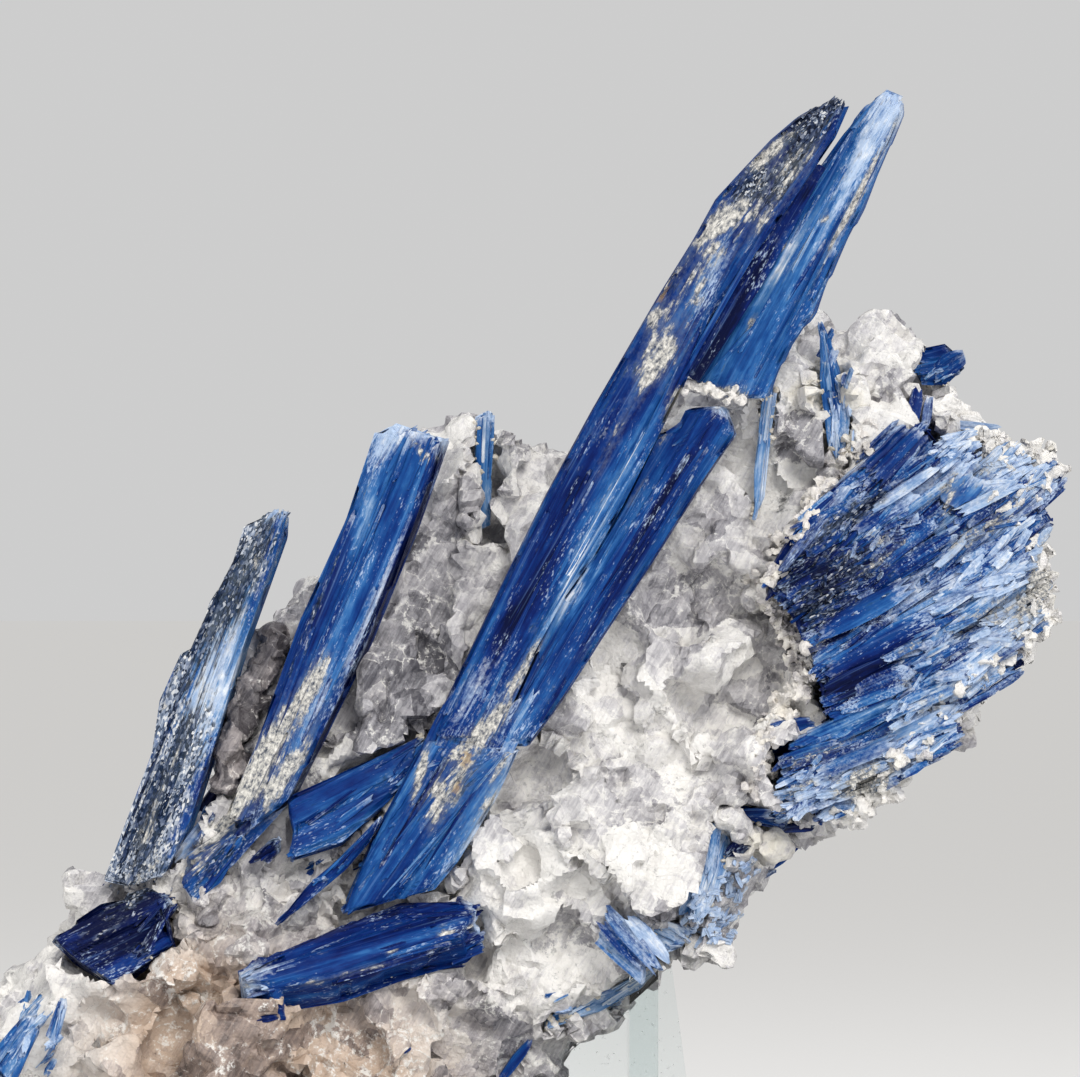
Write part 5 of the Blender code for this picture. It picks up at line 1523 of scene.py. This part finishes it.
def clay_material(name):
    """Dry kaolin clay: dull, cream, with paler and browner crumbs."""
    material, tree, shader = new_material(name)
    place = add(tree, "ShaderNodeTexCoord").outputs["Object"]
    tint = add(tree, "ShaderNodeTexNoise", Vector=place, Scale=1000 / 1.1, Detail=4.0, Roughness=0.65)
    colour = add(tree, "ShaderNodeValToRGB", Fac=tint, stops=CRUMB_COLOURS)
    tree.links.new(colour.outputs[0], shader.inputs["Base Color"])
    grit = add(tree, "ShaderNodeTexNoise", Vector=place, Scale=1000 / 0.2, Detail=2.0)
    bump = add(tree, "ShaderNodeBump", Strength=0.4, Distance=0.08 * MM, Height=grit)
    tree.links.new(bump.outputs[0], shader.inputs["Normal"])
    rough = add(tree, "ShaderNodeMapRange", Value=tint, To_Min=0.75, To_Max=0.95)
    tree.links.new(rough.outputs[0], shader.inputs["Roughness"])
    return material


clay = clay_material("Dry kaolin clay")
slab_tree = tree_of(slab)
draw = random.Random(81)
named = [piece for name, (piece, _sections) in crystals.items() if not name.startswith("back")]
bm = bmesh.new()
made = 0
for _attempt in range(60 * CRUMBS):
    piece = draw.choice(named)
    vertex = piece.data.vertices[draw.randrange(len(piece.data.vertices))]
    near = slab_tree.find_nearest(vertex.co, 1.0 * MM)
    size = draw.uniform(0.22, 0.85) ** 1.4 * 0.8 * MM
    flat = (draw.uniform(0.6, 1.3), draw.uniform(0.6, 1.3), draw.uniform(0.5, 1.0), 1)
    turn = any_turn(draw)
    if near[0] is None or near[1].y > 0.3:
        continue
    place = Matrix.Translation(near[0] + (vertex.co - near[0]) * draw.random())
    bmesh.ops.create_icosphere(bm, subdivisions=1, radius=size, matrix=place @ turn @ Matrix.Diagonal(flat))
    made += 1
    if made == CRUMBS:
        break
crumbs = piece_of("clay_crumbs", mesh_from(bm, "clay crumbs"))
crumbs.data.materials.append(clay)
print("crumbs:", made)

# %% Mica plates
MICA_PLATES = 500
PLATE_THICK = 0.12 * MM


def mica_plates(seed):
    """Small plates strewn over the patches of mica."""
    draw = random.Random(seed)
    weights = [length * width * (amount > 0.6) for _x, _z, length, width, _lean, amount in MICA]
    plates = []
    for _attempt in range(4 * MICA_PLATES):
        x, z, length, width, lean, _amount = draw.choices(MICA, weights)[0]
        turn = math.radians(lean)
        along, aside = draw.gauss(0, 0.42) * length / 2, draw.gauss(0, 0.42) * width / 2
        x = x + along * math.cos(turn) - aside * math.sin(turn)
        z = z + along * math.sin(turn) + aside * math.cos(turn)
        place = on_surface(x, z, draw.uniform(0.0, 0.25))
        way = Vector((math.cos(turn), draw.gauss(0, 0.12), math.sin(turn)))
        size = draw.uniform(0.35, 0.9) * MM
        facing = Vector((draw.gauss(0, 0.35), -1, draw.gauss(0, 0.35)))
        wide, shade = draw.uniform(0.22, 0.5) * MM, draw.uniform(0.0, 0.5)
        if place is not None and len(plates) < MICA_PLATES:
            ends = (place - way * size / 2, place + way * size / 2)
            plates.append((*ends, facing, wide, PLATE_THICK, shade, 0.0))
    return plates


lath_pile("mica_plates", mica_plates(91), 92, coated)
print("mica plates:", MICA_PLATES)

# %% [markdown]
# ## Clear acrylic
#
# The stand is cast acrylic sheet, sawn, with its edges flame polished and cemented: clear, with an IOR of
# 1.49, and almost without colour. What the eye sees of it is its edges, a few fine scratches, and a little
# dust.

# %% Stand
DUST = 0.8  # millimetres between specks


def acrylic_material(name):
    """Clear cast acrylic with hairline scratches and dust."""
    material, tree, shader = new_material(name)
    place = add(tree, "ShaderNodeTexCoord").outputs["Object"]
    specks = add(tree, "ShaderNodeTexNoise", Vector=place, Scale=1000 / DUST, Detail=2.0)
    haze = add(tree, "ShaderNodeTexNoise", Vector=place, Scale=1000 / 25.0, Detail=3.0)
    rough = add(tree, "ShaderNodeMapRange", Value=haze, From_Min=0.35, From_Max=0.7, To_Min=0.02, To_Max=0.10)
    dusty = add(tree, "ShaderNodeMapRange", Value=specks, From_Min=0.66, From_Max=0.72, To_Max=0.25)
    rougher = add(tree, "ShaderNodeMath", PLUS, in_0=rough, in_1=dusty)
    tree.links.new(rougher.outputs[0], shader.inputs["Roughness"])
    scratch_place = add(tree, "ShaderNodeMapping", Vector=place, Scale=(1000 / 0.25, 1000 / 0.25, 1000 / 30))
    scratches = add(tree, "ShaderNodeTexNoise", Vector=scratch_place, Scale=1.0, Detail=2.0)
    bump = add(tree, "ShaderNodeBump", Strength=0.04, Distance=0.05 * MM, Height=scratches)
    tree.links.new(bump.outputs[0], shader.inputs["Normal"])
    shader.inputs["Base Color"].default_value = linear("#f4f8f8")
    shader.inputs["Transmission Weight"].default_value = 1.0
    shader.inputs["IOR"].default_value = 1.49
    return material


acrylic = acrylic_material("Cast acrylic")
for name in ("stand_plate", "stand_upright", "stand_rib"):
    stand_mesh = nodes[name].data
    if not stand_mesh.materials:
        stand_mesh.materials.append(acrylic)
    for slot in nodes[name].material_slots:
        slot.material = acrylic

# %% [markdown]
# ## Fewer faces where the quartz is flat
#
# The voxels gave the slab even faces, also across flats where one face would do. Once everything that rests
# on the slab has its place, collapsing the shortest flat edges halves their number and leaves the broken
# edges as they are.

# %% Fewer faces
SLAB_SHARE = 0.52  # of the slab's faces that stay, which keeps it under 165,000 triangles
fewer = slab.modifiers.new("fewer faces", "DECIMATE")
fewer.ratio = SLAB_SHARE
apply_modifiers(slab)
slab.data.set_sharp_from_angle(angle=CREASE_ANGLE)
print("quartz triangles left:", triangles(slab.data))
